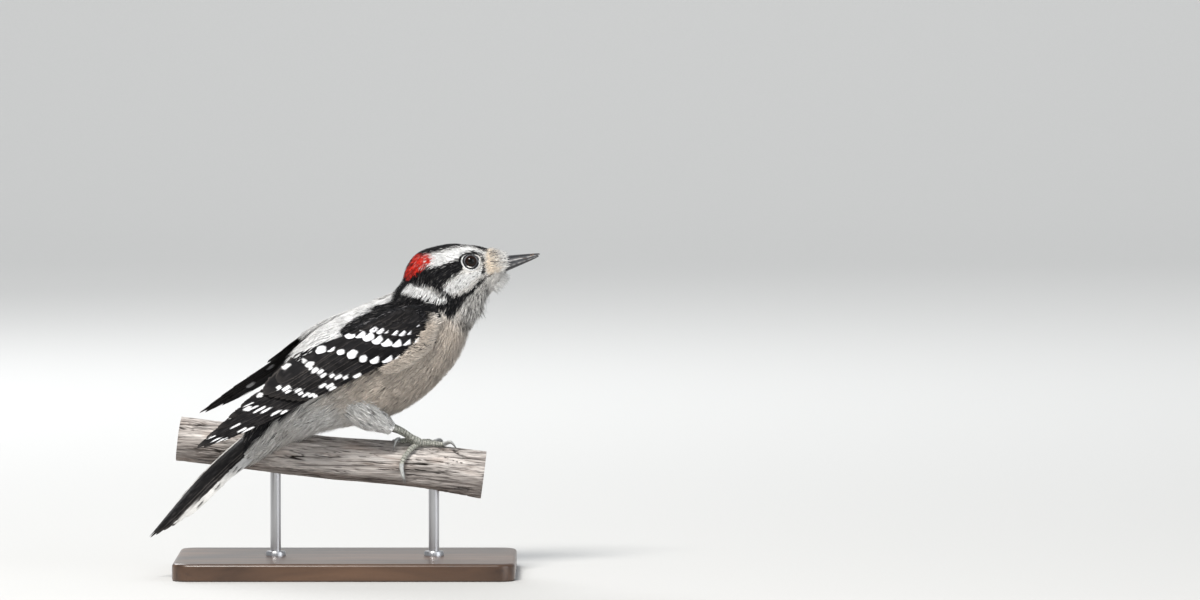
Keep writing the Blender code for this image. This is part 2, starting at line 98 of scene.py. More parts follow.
TARGET = np.array((86.7, -8.0, 93.84)) * MM
DISTANCE, ELEVATION = 3.0, math.radians(3.0)
FRAME_WIDTH = 408 * MM
camera = link(bpy.data.objects.new("camera", bpy.data.cameras.new("camera")))
camera.data.sensor_width = 36
camera.data.lens = 36 * DISTANCE / FRAME_WIDTH
camera.data.clip_start, camera.data.clip_end = 0.1, 50
away = np.array((0, -math.cos(ELEVATION), math.sin(ELEVATION)))
aim(camera, TARGET + away * DISTANCE, TARGET)
bpy.context.scene.camera = camera
print("lens %.1f mm" % camera.data.lens)


# %% Lamps and sky
def lamp(name, place, size, watts, warmth, target=(0.02, -0.005, 0.08)):
    """A square area lamp aimed at the model or at another target; warmth is its colour."""
    data = bpy.data.lights.new(name, "AREA")
    data.size, data.energy, data.color = size, watts, warmth
    return aim(link(bpy.data.objects.new(name, data)), np.array(place), target)


lamp("key_light", (-0.35, -0.95, 1.25), 0.45, 30, (1.0, 0.97, 0.93))
lamp("fill_light", (1.3, -0.9, 0.5), 1.1, 8, (0.93, 0.96, 1.0))
lamp("rim_light", (-0.5, 1.1, 0.9), 0.6, 9, (0.97, 0.98, 1.0))
lamp("backdrop_light", (0.1, 1.3, 2.2), 2.2, 46, (1.0, 1.0, 1.0), (0.1, 3.2, 0.75))
sky = bpy.data.worlds.new("studio")
sky.use_nodes = True
sky.node_tree.nodes["Background"].inputs["Color"].default_value = (0.86, 0.90, 0.95, 1)
sky.node_tree.nodes["Background"].inputs["Strength"].default_value = 0.45
bpy.context.scene.world = sky
bpy.context.scene.view_settings.view_transform = "Standard"


# %% [markdown]
# A small toolbox.
# Nearly every piece here is a row of closed rings with a point at each end: a body, a feather, a toe, a
# hair. So one function makes them all. It takes many such pieces at once, as one array, and gives the
# corners of their faces as arrays too, with no loop over vertices. Another wraps smooth noise, and another
# builds a material.

# %% Rings into faces
def loft(rings, first, last):
    """Closed forms through rings of points. rings is (forms, rings, points, 3), first and last are (forms,
    3), the points that close each end. Gives points, quads, triangles, where each face corner lies, round and
    along, and which form it belongs to. Faces are turned outwards: a ring must run anticlockwise as seen from
    the last point."""
    forms, rows, around = rings.shape[:3]
    each = rows * around + 2
    points = np.concatenate([rings.reshape(forms, -1, 3), first[:, None], last[:, None]],
                            axis=1).reshape(-1, 3)
    start = np.arange(forms)[:, None, None] * each
    i, j = np.arange(rows - 1)[None, :, None], np.arange(around)[None, None, :]
    k = (j + 1) % around
    quads = np.stack([start + i * around + j, start + i * around + k,
                      start + (i + 1) * around + k, start + (i + 1) * around + j], axis=-1).reshape(-1, 4)
    start = start[:, :, 0]
    j, k = j[0], k[0]
    low = np.stack([start + rows * around + 0 * j, start + k, start + j], axis=-1)
    high = np.stack([start + rows * around + 1 + 0 * j, start + (rows - 1) * around + j,
                     start + (rows - 1) * around + k], axis=-1)
    tris = np.concatenate([low, high], axis=1).reshape(-1, 3)
    u0, u1 = np.arange(around) / around, (np.arange(around) + 1) / around
    v = (np.arange(rows) + 1) / (rows + 1)
    quad_uv = np.zeros((forms, rows - 1, around, 4, 2))
    quad_uv[..., 0], quad_uv[..., 1, 0] = u0[:, None], u1
    quad_uv[..., 2, 0] = u1
    quad_uv[..., 0:2, 1], quad_uv[..., 2:4, 1] = v[:-1, None, None], v[1:, None, None]
    tri_uv = np.zeros((forms, 2, around, 3, 2))
    middle = (u0 + u1) / 2
    tri_uv[:, 0, :, :, 0] = np.stack([middle, u1, u0], axis=-1)
    tri_uv[:, 1, :, :, 0] = np.stack([middle, u0, u1], axis=-1)
    tri_uv[:, 0, :, :, 1] = (0, v[0], v[0])
    tri_uv[:, 1, :, :, 1] = (1, v[-1], v[-1])
    girth = rings[:, rows // 2] - rings[:, rows // 2].mean(axis=1, keepdims=True)
    travel = (last - first)[:, None]
    if (np.cross(girth, np.roll(girth, -1, axis=1)) * travel).sum() < 0:
        quads, tris = quads[:, ::-1], tris[:, ::-1]
        quad_uv, tri_uv = quad_uv[..., ::-1, :], tri_uv[..., ::-1, :]
    home = np.concatenate([np.repeat(np.arange(forms), (rows - 1) * around * 4),
                           np.repeat(np.arange(forms), around * 6)])
    return points, quads, tris, np.concatenate([quad_uv.reshape(-1, 2), tri_uv.reshape(-1, 2)]), home


# %% Arrays into meshes
def paint_points(mesh, tint):
    """A colour for each point, in the Tint attribute."""
    colour = np.ones((len(mesh.vertices), 4), np.float32)
    colour[:, :3] = tint
    mesh.color_attributes.new("Tint", "FLOAT_COLOR", "POINT").data.foreach_set("color", colour.ravel())


def make_mesh(name, points, quads, tris, tint=None, maps=None, sharp=None):
    """A mesh object from arrays, points in millimetres. tint is a colour for each point, maps are UV maps by
    name with a place for each point or each face corner, and sharp is the angle past which an edge isn't
    smoothed."""
    mesh = bpy.data.meshes.new(name)
    mesh.vertices.add(len(points))
    mesh.vertices.foreach_set("co", (np.asarray(points) * MM).astype(np.float32).ravel())
    corners = np.concatenate([np.ravel(quads), np.ravel(tris)]).astype(np.int32)
    mesh.loops.add(len(corners))
    mesh.loops.foreach_set("vertex_index", corners)
    starts = np.concatenate([np.arange(len(quads)) * 4, len(quads) * 4 + np.arange(len(tris)) * 3])
    mesh.polygons.add(len(starts))
    mesh.polygons.foreach_set("loop_start", starts.astype(np.int32))
    mesh.update(calc_edges=True)
    mesh.shade_smooth()
    if sharp:
        mesh.set_sharp_from_angle(angle=math.radians(sharp))
    if tint is not None:
        paint_points(mesh, tint)
    for label, places in (maps or {}).items():
        places = places[corners] if len(places) == len(points) else places
        mesh.uv_layers.new(name=label).data.foreach_set("uv", np.asarray(places, np.float32).ravel())
    return link(bpy.data.objects.new(name, mesh))


def solid(name, rings, tint=None, ends=None, sharp=None):
    """One closed form through rings, (rings, points, 3), with a colour for each of their points. Each end is
    closed at its ring's middle, or at a place of its own from ends."""
    first, last = (rings[0].mean(axis=0), rings[-1].mean(axis=0)) if ends is None else ends
    tints = None if tint is None else np.concatenate([tint.reshape(-1, 3), tint[0, :1], tint[-1, :1]])
    return make_mesh(name, *loft(rings[None], np.array([first]), np.array([last]))[:3], tints, sharp=sharp)


def read(items, what, size):
    """One property of all points or faces of a mesh, as an array."""
    got = np.empty(len(items) * size)
    items.foreach_get(what, got)
    return got.reshape(-1, size)


def settle(piece, look, slot, *nodes):
    """Gives a piece its material and body and hides the frame's solids it stands in for. slot is not used."""
    piece.data.materials.append(look.made)
    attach(piece, "root")
    if nodes:
        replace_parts(piece, *nodes)
    return piece


# %% Smooth noise, steps and curves
def ripple(places, size, seed, waves=10):
    """Smooth noise from -1 to 1: the mean of sine waves of about one size, in directions of their own."""
    spin = np.random.default_rng(seed)
    pull = unit(spin.normal(size=(waves, np.shape(places)[-1]))) * spin.uniform(0.6, 1.6, (waves, 1))
    phase = spin.uniform(0, 2 * np.pi, waves)
    return np.sin(np.asarray(places) @ pull.T * (2 * np.pi / size) + phase).mean(axis=-1) * 1.8


def step(low, high, x):
    """0 below low, 1 above high and a smooth rise between."""
    s = np.clip((np.asarray(x) - low) / (high - low), 0, 1)
    return s * s * (3 - 2 * s)


def mix(a, b, share):
    """From a to b by share."""
    return a + (b - a) * share


def tone(a, b, share):
    """From colour a to colour b, with a share for each place."""
    return mix(np.asarray(a, float), np.asarray(b, float), np.asarray(share, float)[..., None])


def bell(x, width):
    """1 at 0, falling smoothly to nearly 0 at twice the width on either side."""
    return np.exp(-((x / width) ** 2))


def turns(count):
    """Angles evenly round a circle."""
    return np.linspace(0, 2 * np.pi, count, endpoint=False)


def smooth_rows(rows, count):
    """A smooth curve through rows of numbers, read at even shares of their places' chord length."""
    rows = np.array(rows, float)
    chord = np.linalg.norm(np.diff(rows[:, :3], axis=0), axis=1)
    at = np.concatenate([[0], np.cumsum(chord)]) / chord.sum()
    slopes = np.gradient(rows, at, axis=0)
    t = np.linspace(0, 1, count)
    k = np.clip(np.searchsorted(at, t, side="right") - 1, 0, len(rows) - 2)
    span = (at[k + 1] - at[k])[:, None]
    u = (t - at[k])[:, None] / span
    return ((2 * u**3 - 3 * u**2 + 1) * rows[k] + (u**3 - 2 * u**2 + u) * span * slopes[k]
            + (3 * u**2 - 2 * u**3) * rows[k + 1] + (u**3 - u**2) * span * slopes[k + 1])


def circle(angle, side, up):
    """Directions at an angle from one direction towards another at right angles to it."""
    return np.cos(angle)[..., None] * side + np.sin(angle)[..., None] * up


def frames_along(line, roll_deg):
    """Ahead, left and up at each point of a line, level from side to side before the roll is added."""
    ahead = unit(np.gradient(line, axis=0))
    left = unit(np.cross((0, 0, 1), ahead))
    up = np.cross(ahead, left)
    roll = np.radians(roll_deg)[:, None]
    return ahead, left * np.cos(roll) + up * np.sin(roll), up * np.cos(roll) - left * np.sin(roll)


# %% Materials
class Look:
    """A Principled material, with shortcuts that add nodes to it. Its noise reads the piece's own
    coordinates."""

    def __init__(self, name, roughness, **sockets):
        self.made = bpy.data.materials.new(name)
        self.made.use_nodes = True
        self.tree = self.made.node_tree
        self.shader = self.tree.nodes["Principled BSDF"]
        self.shader.inputs["Roughness"].default_value = roughness
        for socket, value in sockets.items():
            self.shader.inputs[socket.replace("_", " ")].default_value = value
        self.place = self.add("TexCoord").outputs["Object"]

    def feed(self, node, socket, value):
        """Links a node's socket to another one, or gives it a value."""
        if isinstance(value, bpy.types.NodeSocket):
            self.tree.links.new(value, node.inputs[socket])
        else:
            node.inputs[socket].default_value = value

    def add(self, kind, values=None, **settings):
        """A node with its settings, and its sockets' values or links."""
        node = self.tree.nodes.new("ShaderNode" + kind)
        for key, value in settings.items():
            setattr(node, key, value)
        for socket, value in (values or {}).items():
            self.feed(node, socket, value)
        return node

    def noise(self, scale, detail, **values):
        """Noise of one scale, or stretched by a scale for each axis."""
        place = self.place
        if np.ndim(scale):
            place = self.add("Mapping", {"Vector": place, "Scale": scale}).outputs["Vector"]
            scale = 1.0
        values = {"Vector": place, "Scale": scale, "Detail": detail, **values}
        return self.add("TexNoise", values).outputs["Fac"]

    def ramp(self, value, low, high, dark=0.0, light=1.0):
        """A value between low and high, mapped to dark and light."""
        values = {"Value": value, "From Min": low, "From Max": high, "To Min": dark, "To Max": light}
        return self.add("MapRange", values).outputs["Result"]

    def vary(self, noise, dark, light):
        """Noise as a share between dark and light."""
        return self.ramp(noise, 0.3, 0.7, dark, light)

    def calc(self, operation, *values):
        return self.add("Math", dict(enumerate(values)), operation=operation).outputs[0]

    def blend(self, a, b, share):
        """A colour from a to b by share; a and b are sockets or values."""
        a, b = [(*colour, 1) if isinstance(colour, tuple) else colour for colour in (a, b)]
        return self.add("Mix", {0: share, 6: a, 7: b}, data_type="RGBA").outputs[2]

    def colour(self, value):
        self.feed(self.shader, "Base Color", value)

    def tint(self, *shares):
        """Makes the base colour the piece's Tint attribute times one or two shares."""
        share = shares[0] if len(shares) == 1 else self.calc("MULTIPLY", *shares)
        tint = self.add("Attribute", attribute_name="Tint").outputs["Color"]
        self.colour(self.add("VectorMath", {0: tint, "Scale": share}, operation="SCALE").outputs["Vector"])

    def bump(self, height, strength, distance=0.0001):
        node = self.add("Bump", {"Height": height, "Strength": strength, "Distance": distance})
        self.feed(self.shader, "Normal", node.outputs["Normal"])
        return node


# %% [markdown]
# The body under the feathers.
# A perched bird's body is one smooth form from its face to its vent. Its middle is a curved line, and a
# slice across that line is nearly an ellipse, higher on one side. The frame's head, neck and trunk were
# drawn that way, out to the tips of the feathers, and the same rows of numbers draw it here with more
# rings. The coat's depth is taken off each ring, so that feathers rooted in the skin end where the frame's
# solids end. The thighs are tapered tubes, and a Boolean union makes one closed skin of all three.

# %% The body's form
# x, y, z of the middle, half width, height above it, height below it, roll, from the vent to the face
BODY = (
    (-38.6, -15.6, 36.8, 1.0, 0.8, 0.8, 27),
    (-35.0, -14.6, 40.4, 3.8, 2.6, 3.4, 26),
    (-30.6, -13.2, 44.8, 6.4, 4.8, 5.0, 25),
    (-24.6, -11.2, 52.0, 10.0, 8.4, 8.8, 23),
    (-15.2, -8.8, 59.8, 14.0, 13.5, 13.4, 20),
    (-2.4, -6.1, 67.6, 17.0, 18.0, 18.8, 18),
    (13.0, -3.2, 74.8, 17.6, 18.9, 20.6, 16),
    (25.0, -1.2, 83.2, 15.6, 16.2, 17.6, 13),
    (31.4, -0.2, 92.0, 12.0, 15.2, 14.8, 9),
    (35.6, 0.4, 98.2, 10.8, 16.3, 14.8, 6),
    (39.6, 0.6, 101.6, 10.5, 12.8, 13.6, 4),
    (44.2, 0.7, 103.8, 9.4, 9.2, 11.0, 3),
    (48.8, 0.7, 105.2, 6.9, 6.5, 8.4, 3),
    (52.6, 0.7, 106.2, 4.6, 3.8, 5.4, 3),
    (55.6, 0.7, 106.7, 2.4, 1.7, 2.8, 3),
)
THIGHS = {
    "right": ((-2.0, -11.6, 64.0, 9.0), (4.0, -11.8, 58.4, 7.4), (9.0, -10.8, 54.2, 5.2),
              (12.8, -9.7, 51.7, 3.3), (15.4, -8.6, 49.9, 2.1)),
    "left": ((-2.0, 3.6, 66.0, 8.6), (4.0, 5.4, 59.6, 7.0), (9.0, 6.4, 54.4, 5.0),
             (12.8, 6.7, 51.2, 3.2), (15.2, 6.6, 49.4, 2.1)),
}
# x, y, z and radius along the perch
PERCH = ((-57.0, 0.6, 46.2, 7.9), (-32.0, 0.2, 43.0, 7.7), (-6.0, 0.0, 39.6, 7.6), (20.0, 0.0, 37.1, 7.8),
         (47.0, 0.4, 33.7, 8.5))
EYE = np.array((42.6, 0.7, 106.9))
ROWS, AROUND = 260, 192
SPINE = smooth_rows(BODY, ROWS)
LEFT, UP = frames_along(SPINE[:, :3], SPINE[:, 6])[1:]
ANGLE = turns(AROUND)


def share_at(x):
    """How far along the spine, from 0 to 1, its middle line has an x."""
    return np.interp(x, SPINE[:, 0], np.linspace(0, 1, ROWS))


def from_back(angle):
    """Degrees from the middle of the back, 0, to the middle of the belly, 180, on either side."""
    return np.degrees(np.abs((angle - np.pi / 2 + np.pi) % (2 * np.pi) - np.pi))


def coat_depth(t, angle):
    """How deep the coat is, in millimetres: thin on the face and crown, deepest on the belly and flanks."""
    body = 1.3 + 0.9 * step(80, 150, from_back(angle))
    head = 0.75 + 0.3 * step(60, 140, from_back(angle))
    depth = mix(body, head, step(share_at(30), share_at(40), t))
    return depth * mix(1.0, 0.65, step(share_at(44), share_at(53), t)) * step(-0.03, 0.14, t)


t_grid, a_grid = np.meshgrid(np.linspace(0, 1, ROWS), ANGLE, indexing="ij")
depth_grid = coat_depth(t_grid, a_grid)


def body_rings(inset):
    """Slices of the body: middle + left x width x cos + up x height x sin, each size less by the inset."""
    height = np.where(np.sin(ANGLE) > 0, SPINE[:, 4:5], SPINE[:, 5:6])
    height = np.maximum(height - inset, 0.3)
    width = np.maximum(SPINE[:, 3:4] - inset, 0.3)
    return (SPINE[:, None, :3] + (width * np.cos(ANGLE))[:, :, None] * LEFT[:, None]
            + (height * np.sin(ANGLE))[:, :, None] * UP[:, None])


# %% Clear of the perch
PERCH_RUN = smooth_rows(PERCH, 200)


def perch_at(x):
    """Middle y, z and radius of the perch at an x."""
    return [np.interp(x, PERCH_RUN[:, 0], PERCH_RUN[:, k]) for k in (1, 2, 3)]


def clear_of_perch(points, room):
    """Points moved straight out from the perch's middle line until they are that far from its surface."""
    y, z, radius = perch_at(points[..., 0])
    dy, dz = points[..., 1] - y, points[..., 2] - z
    away = np.maximum(np.hypot(dy, dz), 1e-6)
    grow = np.maximum((radius + room) / away, 1)
    return np.stack([points[..., 0], y + dy * grow, z + dz * grow], axis=-1)


PERCH_ROOM = 0.6
SKIN = clear_of_perch(body_rings(depth_grid), PERCH_ROOM)
print("skin rings:", SKIN.shape)


# %% The skin as a grid
def locate(points):
    """Share along the spine and angle round it of any points near the body, by the nearest slice."""
    k = np.argmin(((points[:, None] - SPINE[None, ::2, :3]) ** 2).sum(-1), axis=1) * 2
    offset = points - SPINE[k, :3]
    return k / (ROWS - 1), np.arctan2((offset * UP[k]).sum(-1), (offset * LEFT[k]).sum(-1)) % (2 * np.pi)


class Hide:
    """Skin as a grid of rings, with its normals, the coat's depth on it and how fast places move along it."""

    def __init__(self, rings, depth):
        self.rings, self.depth = rings, depth[..., None]
        rows, around = rings.shape[:2]
        along, round_it = np.gradient(rings, axis=0), (np.roll(rings, -1, 1) - np.roll(rings, 1, 1)) / 2
        self.normals = unit(np.cross(round_it, along))
        middle = rings.mean(axis=1, keepdims=True)
        if ((rings - middle) * self.normals).sum() < 0:
            self.normals = -self.normals
        self.fast_t = np.linalg.norm(along, axis=-1, keepdims=True) * (rows - 1)
        self.fast_a = np.linalg.norm(round_it, axis=-1, keepdims=True) * around / (2 * np.pi)
        self.cell = (self.fast_t * self.fast_a)[..., 0] / (rows - 1) / around * 2 * np.pi

    def read(self, grid, t, angle):
        """A grid over the hide read between its points, straight from one to the next."""
        rows, around = grid.shape[:2]
        r = np.clip(t, 0, 1) * (rows - 1.001)
        c = (angle / (2 * np.pi) * around) % around
        i, j = r.astype(int), c.astype(int) % around
        fr, fc = (r - i)[..., None], (c - np.floor(c))[..., None]
        k = (j + 1) % around
        return mix(mix(grid[i, j], grid[i, k], fc), mix(grid[i + 1, j], grid[i + 1, k], fc), fr)


body = Hide(SKIN, depth_grid)


# %% [markdown]
# The markings.
# Skin and feathers must carry the same pattern, so one function gives the colour of any place on the bird.
# On the head it is a drawing in side view, measured in millimetres from the eye: each mark is a stroke, a
# bent line with its own half width at each bend, and later strokes lie over earlier ones. On the body the
# colour depends on how far along the spine a place is and how many degrees it lies from the middle of the
# back. A little noise in the place makes every border ragged, as feather tips do.

# %% Strokes
BLACK = (0.009, 0.009, 0.0105)
WHITE, GREYWHITE = (0.94, 0.94, 0.935), (0.70, 0.685, 0.66)
BUFF, CREAM, RED = (0.66, 0.585, 0.51), (0.82, 0.72, 0.60), (0.74, 0.035, 0.02)
UNDERSIDE_PAINTED_SHADE, THROAT, FLANK_WHITE = (0.58, 0.53, 0.485), (0.80, 0.78, 0.75), (0.84, 0.83, 0.81)
HEAD_FROM = 0.70  # the share along the spine where the head's drawing takes over
# strokes: forward of the eye, above the eye, half width
CROWN = ((6.9, 3.8, 1.0), (4.6, 4.7, 1.4), (1.5, 6.2, 1.6), (-3.0, 7.0, 2.1), (-8.0, 6.6, 2.6),
         (-12.5, 5.6, 2.6), (-16.5, 4.4, 2.4), (-20.0, 2.2, 2.0), (-22.8, -1.8, 1.8), (-24.6, -5.8, 2.2),
         (-26.5, -9.0, 2.4))
EAR = ((-2.6, 0.6, 1.5), (-5.0, -1.8, 2.4), (-9.0, -4.0, 3.2), (-13.0, -5.2, 3.5), (-17.5, -5.2, 2.8),
       (-21.5, -5.8, 2.0), (-24.5, -6.8, 2.0))
EAR_LOBE = ((-9.4, -5.0, 2.5), (-11.0, -8.0, 2.2), (-9.6, -10.6, 1.2), (-6.4, -12.8, 1.2))
MALAR = ((7.6, -4.2, 0.3), (4.6, -5.9, 0.45), (2.0, -8.6, 0.6), (-0.5, -10.9, 0.85), (-3.6, -13.4, 1.8),
         (-6.2, -15.4, 2.4), (-6.9, -17.8, 1.4), (-6.6, -19.4, 0.6))
SHOULDER_PATCH = ((-5.0, -14.4, 2.0), (-8.5, -15.0, 1.7), (-12.0, -15.6, 1.4))
CHEEK = ((4.2, -3.6, 0.8), (0.8, -4.8, 1.2), (-3.0, -7.2, 2.3), (-5.8, -8.9, 1.9), (-8.0, -9.6, 0.9))
BROW = ((4.3, 2.3, 0.3), (2.0, 3.6, 0.5), (-0.3, 4.0, 0.9), (-3.2, 3.4, 1.5), (-6.5, 2.2, 1.8),
        (-9.8, 1.1, 2.1), (-13.0, -0.1, 2.1))
COLLAR = ((-25.0, -9.9, 0.9), (-20.4, -9.4, 1.9), (-16.2, -10.6, 1.8), (-12.4, -12.4, 1.5),
          (-8.8, -13.3, 0.8))
EYE_EDGE = ((-3.4, 0.8, 0.9), (-1.6, 2.5, 0.6), (1.0, 2.9, 0.55), (3.3, 2.2, 0.5), (4.4, 0.6, 0.42),
            (4.5, -1.4, 0.4), (4.3, -3.0, 0.4), (4.6, -4.4, 0.3))
NAPE_RED = ((-14.4, 0.4, 1.6), (-17.8, -1.1, 2.1), (-21.0, -4.6, 1.4))
NAPE_RED_TOP = ((-15.4, 1.4, 0.8), (-18.0, 0.9, 1.2), (-19.6, -1.0, 0.9))
LORES = ((6.9, 2.4, 1.4), (6.9, -0.6, 1.9), (6.9, -3.0, 1.5))


def inside(ahead, above, stroke):
    """How far inside a stroke each place is, in millimetres: the greatest, over its pieces, of the piece's
    half width at the nearest point less the distance to that point."""
    rows = np.array(stroke)
    a, b = rows[:-1, None], rows[1:, None]
    along, aside = b[..., 0] - a[..., 0], b[..., 1] - a[..., 1]
    s = np.clip(((ahead - a[..., 0]) * along + (above - a[..., 1]) * aside) / (along**2 + aside**2), 0, 1)
    gap = np.hypot(ahead - a[..., 0] - s * along, above - a[..., 1] - s * aside)
    return (mix(a[..., 2], b[..., 2], s) - gap).max(axis=0)


# %% The colour of any place
def stripe_half(t):
    """Half width in degrees of the white stripe down the back, by share along the spine."""
    return np.interp(t, (0.28, 0.30, 0.33, 0.37, 0.43, 0.48, 0.56, 0.66, 0.70),
                     (-8, 4, 16, 24, 20, 12, 7, 5, 2))


def woolly(places):
    """1 in the loose white flank feathers round the thigh, 0 a centimetre away from them."""
    return step(12, 5, np.hypot(places[..., 0] + 6.5, 1.25 * (places[..., 2] - 51.0)))


def markings(places, t, angle):
    """Colours of places on the bird, from head strokes, spine share and angle."""
    back = from_back(angle) + 5.0 * ripple(places, 5.0, 11)
    t = t + 0.012 * ripple(places, 6.0, 12)
    colour = tone(BUFF, GREYWHITE, step(0.42, 0.24, t))
    # darker and browner on the underside of the breast and belly: painted shade
    colour = tone(colour, UNDERSIDE_PAINTED_SHADE, 0.8 * step(0.40, 0.55, t) * step(125, 165, back))
    colour = tone(colour, THROAT, step(0.70, 0.78, t))
    colour = tone(colour, FLANK_WHITE, 0.85 * woolly(places) * step(70, 90, back))
    edge = np.interp(t, (0.0, 0.10, 0.19, 0.31, 0.47, 0.70), (26, 36, 60, 73, 77, 79))
    dusk = step(8, -8, back - edge) * step(0.785, 0.745, t)
    colour = tone(colour, BLACK, dusk)
    reach = stripe_half(t) + 26.0 * (np.cos(angle) > 0) * step(0.30, 0.34, t)
    colour = tone(colour, WHITE, (back < reach) * step(0.71, 0.69, t))
    colour = tone(colour, WHITE, 0.75 * step(0.10, 0.03, t) * step(100, 130, back))

    wobble = np.stack([ripple(places, 1.9, 13), ripple(places, 1.9, 14)], axis=-1) * 0.32
    ahead = places[..., 0] - EYE[0] + wobble[..., 0]
    above = places[..., 2] - EYE[2] + wobble[..., 1]
    on_head = t > HEAD_FROM

    def paint(colour, new, stroke, soft=0.35, share=1.0):
        return tone(colour, new, share * on_head * step(-soft, soft, inside(ahead, above, stroke)))

    top = (above > 5.4 - 0.016 * (ahead + 3) ** 2) | ((back < 16) & (t < 0.86))
    colour = tone(colour, BLACK, on_head * top)
    for stroke, soft in ((CROWN, 0.35), (EAR, 0.35), (EAR_LOBE, 1.0), (MALAR, 0.35), (SHOULDER_PATCH, 0.35)):
        colour = paint(colour, BLACK, stroke, soft)
    for stroke, soft in ((CHEEK, 0.6), (BROW, 0.35)):
        colour = paint(colour, WHITE, stroke, soft)
    collar = on_head * step(-0.35, 0.35, inside(ahead, above, COLLAR)) * step(15, 22, back)
    colour = tone(colour, WHITE, collar)
    colour = paint(colour, BLACK, EYE_EDGE, 0.25)
    flecks = step(-0.5, -0.2, ripple(np.stack([(ahead + above) * 0.3, ahead - above], axis=-1), 2.0, 15))
    for stroke in (NAPE_RED, NAPE_RED_TOP):
        colour = paint(colour, RED, stroke, share=flecks)
    colour = paint(colour, CREAM, LORES, 0.5)
    return colour


# %% The skin
def tube_rings(rows, count, around, inset):
    """Round slices along a smooth line of places and radii, less an inset."""
    line = smooth_rows(rows, count)
    ahead = unit(np.gradient(line[:, :3], axis=0))
    side = unit(np.cross(ahead, (0.13, 0.31, 0.94)))
    turn = turns(around)[None]
    radius = np.maximum(line[:, 3] - inset, 0.4)[:, None, None]
    return line[:, None, :3] + radius * circle(turn, side[:, None], np.cross(side, ahead)[:, None])


THIGH_ROWS, THIGH_AROUND = 40, 32
THIGH_DEPTH = np.linspace(2.2, 0.7, THIGH_ROWS)
SKIN_SHADE = 0.94
body_part = SKIN[:-4:2, ::2]
skin = solid("skin", body_part)
thighs, forms = {}, []
for side, rows in THIGHS.items():
    rings = clear_of_perch(tube_rings(rows, THIGH_ROWS, THIGH_AROUND, THIGH_DEPTH), 0.4)
    thighs[side] = Hide(rings, np.repeat(THIGH_DEPTH[:, None], THIGH_AROUND, axis=1))
    forms.append(solid("thigh_form_" + side, rings))
    union = skin.modifiers.new(side, "BOOLEAN")
    union.operation, union.solver, union.object = "UNION", "EXACT", forms[-1]
bpy.context.view_layer.update()
whole = bpy.data.meshes.new_from_object(skin.evaluated_get(bpy.context.evaluated_depsgraph_get()))
skin.modifiers.clear()
skin.data = whole
for form in forms:
    bpy.data.objects.remove(form)
corner = read(whole.vertices, "co", 3) / MM
paint_points(whole, markings(corner, *locate(corner)) * SKIN_SHADE)
whole.shade_smooth()
print("skin:", len(whole.vertices), "points")


# %% Feather materials
# soft feathers: lighter and darker along fine streaks, with a bump of the same streaks
plumage = Look("plumage", 0.65, Sheen_Weight=0.03, Sheen_Roughness=0.5, Specular_IOR_Level=0.10)
streak, patch = plumage.noise(2600.0, 2.0), plumage.noise(240.0, 3.0)
plumage.tint(plumage.vary(streak, 0.84, 1.16), plumage.vary(patch, 0.90, 1.10))
plumage.bump(streak, 0.35, 0.00015)
skin.data.materials.clear()
settle(skin, plumage, "plumage", "head", "neck", "trunk", "thigh_left", "thigh_right")


# %% [markdown]
# The coat of feathers.
# Body feathers are soft: what shows of each is a spray of hair-fine barbs. Particle hair would draw them,
# but it can't leave Blender as a solid, so each tuft of barbs is a real sliver of mesh: three thin rings
# and a point, three-sided, with a ridge on top. The root is in the skin, the tip lies near the coat's
# surface, and the rings between follow the skin backwards, so tufts overlap like thatch. Places are drawn
# evenly over the skin's own area, denser where the tufts are small, and all tufts of a piece are worked out
# in one go as arrays.

# %% Where tufts grow
SHARES = (0.0, 0.2, 0.5, 0.7, 0.8, 0.9, 0.95, 1.0)


def tuft_length(t):
    return np.interp(t, SHARES, (6.2, 6.0, 4.8, 3.6, 2.9, 2.1, 1.6, 1.2))


def tuft_width(t):
    return np.interp(t, SHARES, (0.42, 0.40, 0.36, 0.32, 0.28, 0.24, 0.21, 0.19))


def sow(hide, density):
    """Random places on a hide, density of them for each square millimetre: cells are filled in order, each by
    its own share of the total, so the places are even. Gives shares along it and angles."""
    rows, around = hide.rings.shape[:2]
    expected = np.cumsum((density * hide.cell)[:-1].ravel())
    count = int(expected[-1])
    cell = np.searchsorted(expected, (np.arange(count) + dice.random(count)) * expected[-1] / count)
    cell = np.minimum(cell, len(expected) - 1)
    t = (cell // around + dice.random(count)) / (rows - 1)
    return t, (cell % around + dice.random(count)) / around * 2 * np.pi


# %% Tufts along the skin
TUFT_WAY = np.array(((0.0, 0.38, 0.74, 1.0),))
TUFT_WIDE = np.array((0.75, 1.0, 0.72))


def slivers(line, normal, width):
    """Three-sided rings along each line of four places, the last of them the tip: left and right at half the
    width, and a ridge above. Gives rings, roots and tips."""
    ahead = unit(np.gradient(line, axis=1))
    aside = unit(np.cross(normal, ahead))
    half = ((0.5 * width)[:, None] * TUFT_WIDE)[..., None]
    base, ahead, aside = line[:, :-1], ahead[:, :-1], aside[:, :-1]
    rings = np.stack([base - aside * half, base + aside * half, base + np.cross(ahead, aside) * 0.24 * half],
                     axis=2)
    return rings, line[:, 0] - ahead[:, 0] * 0.05, line[:, -1]


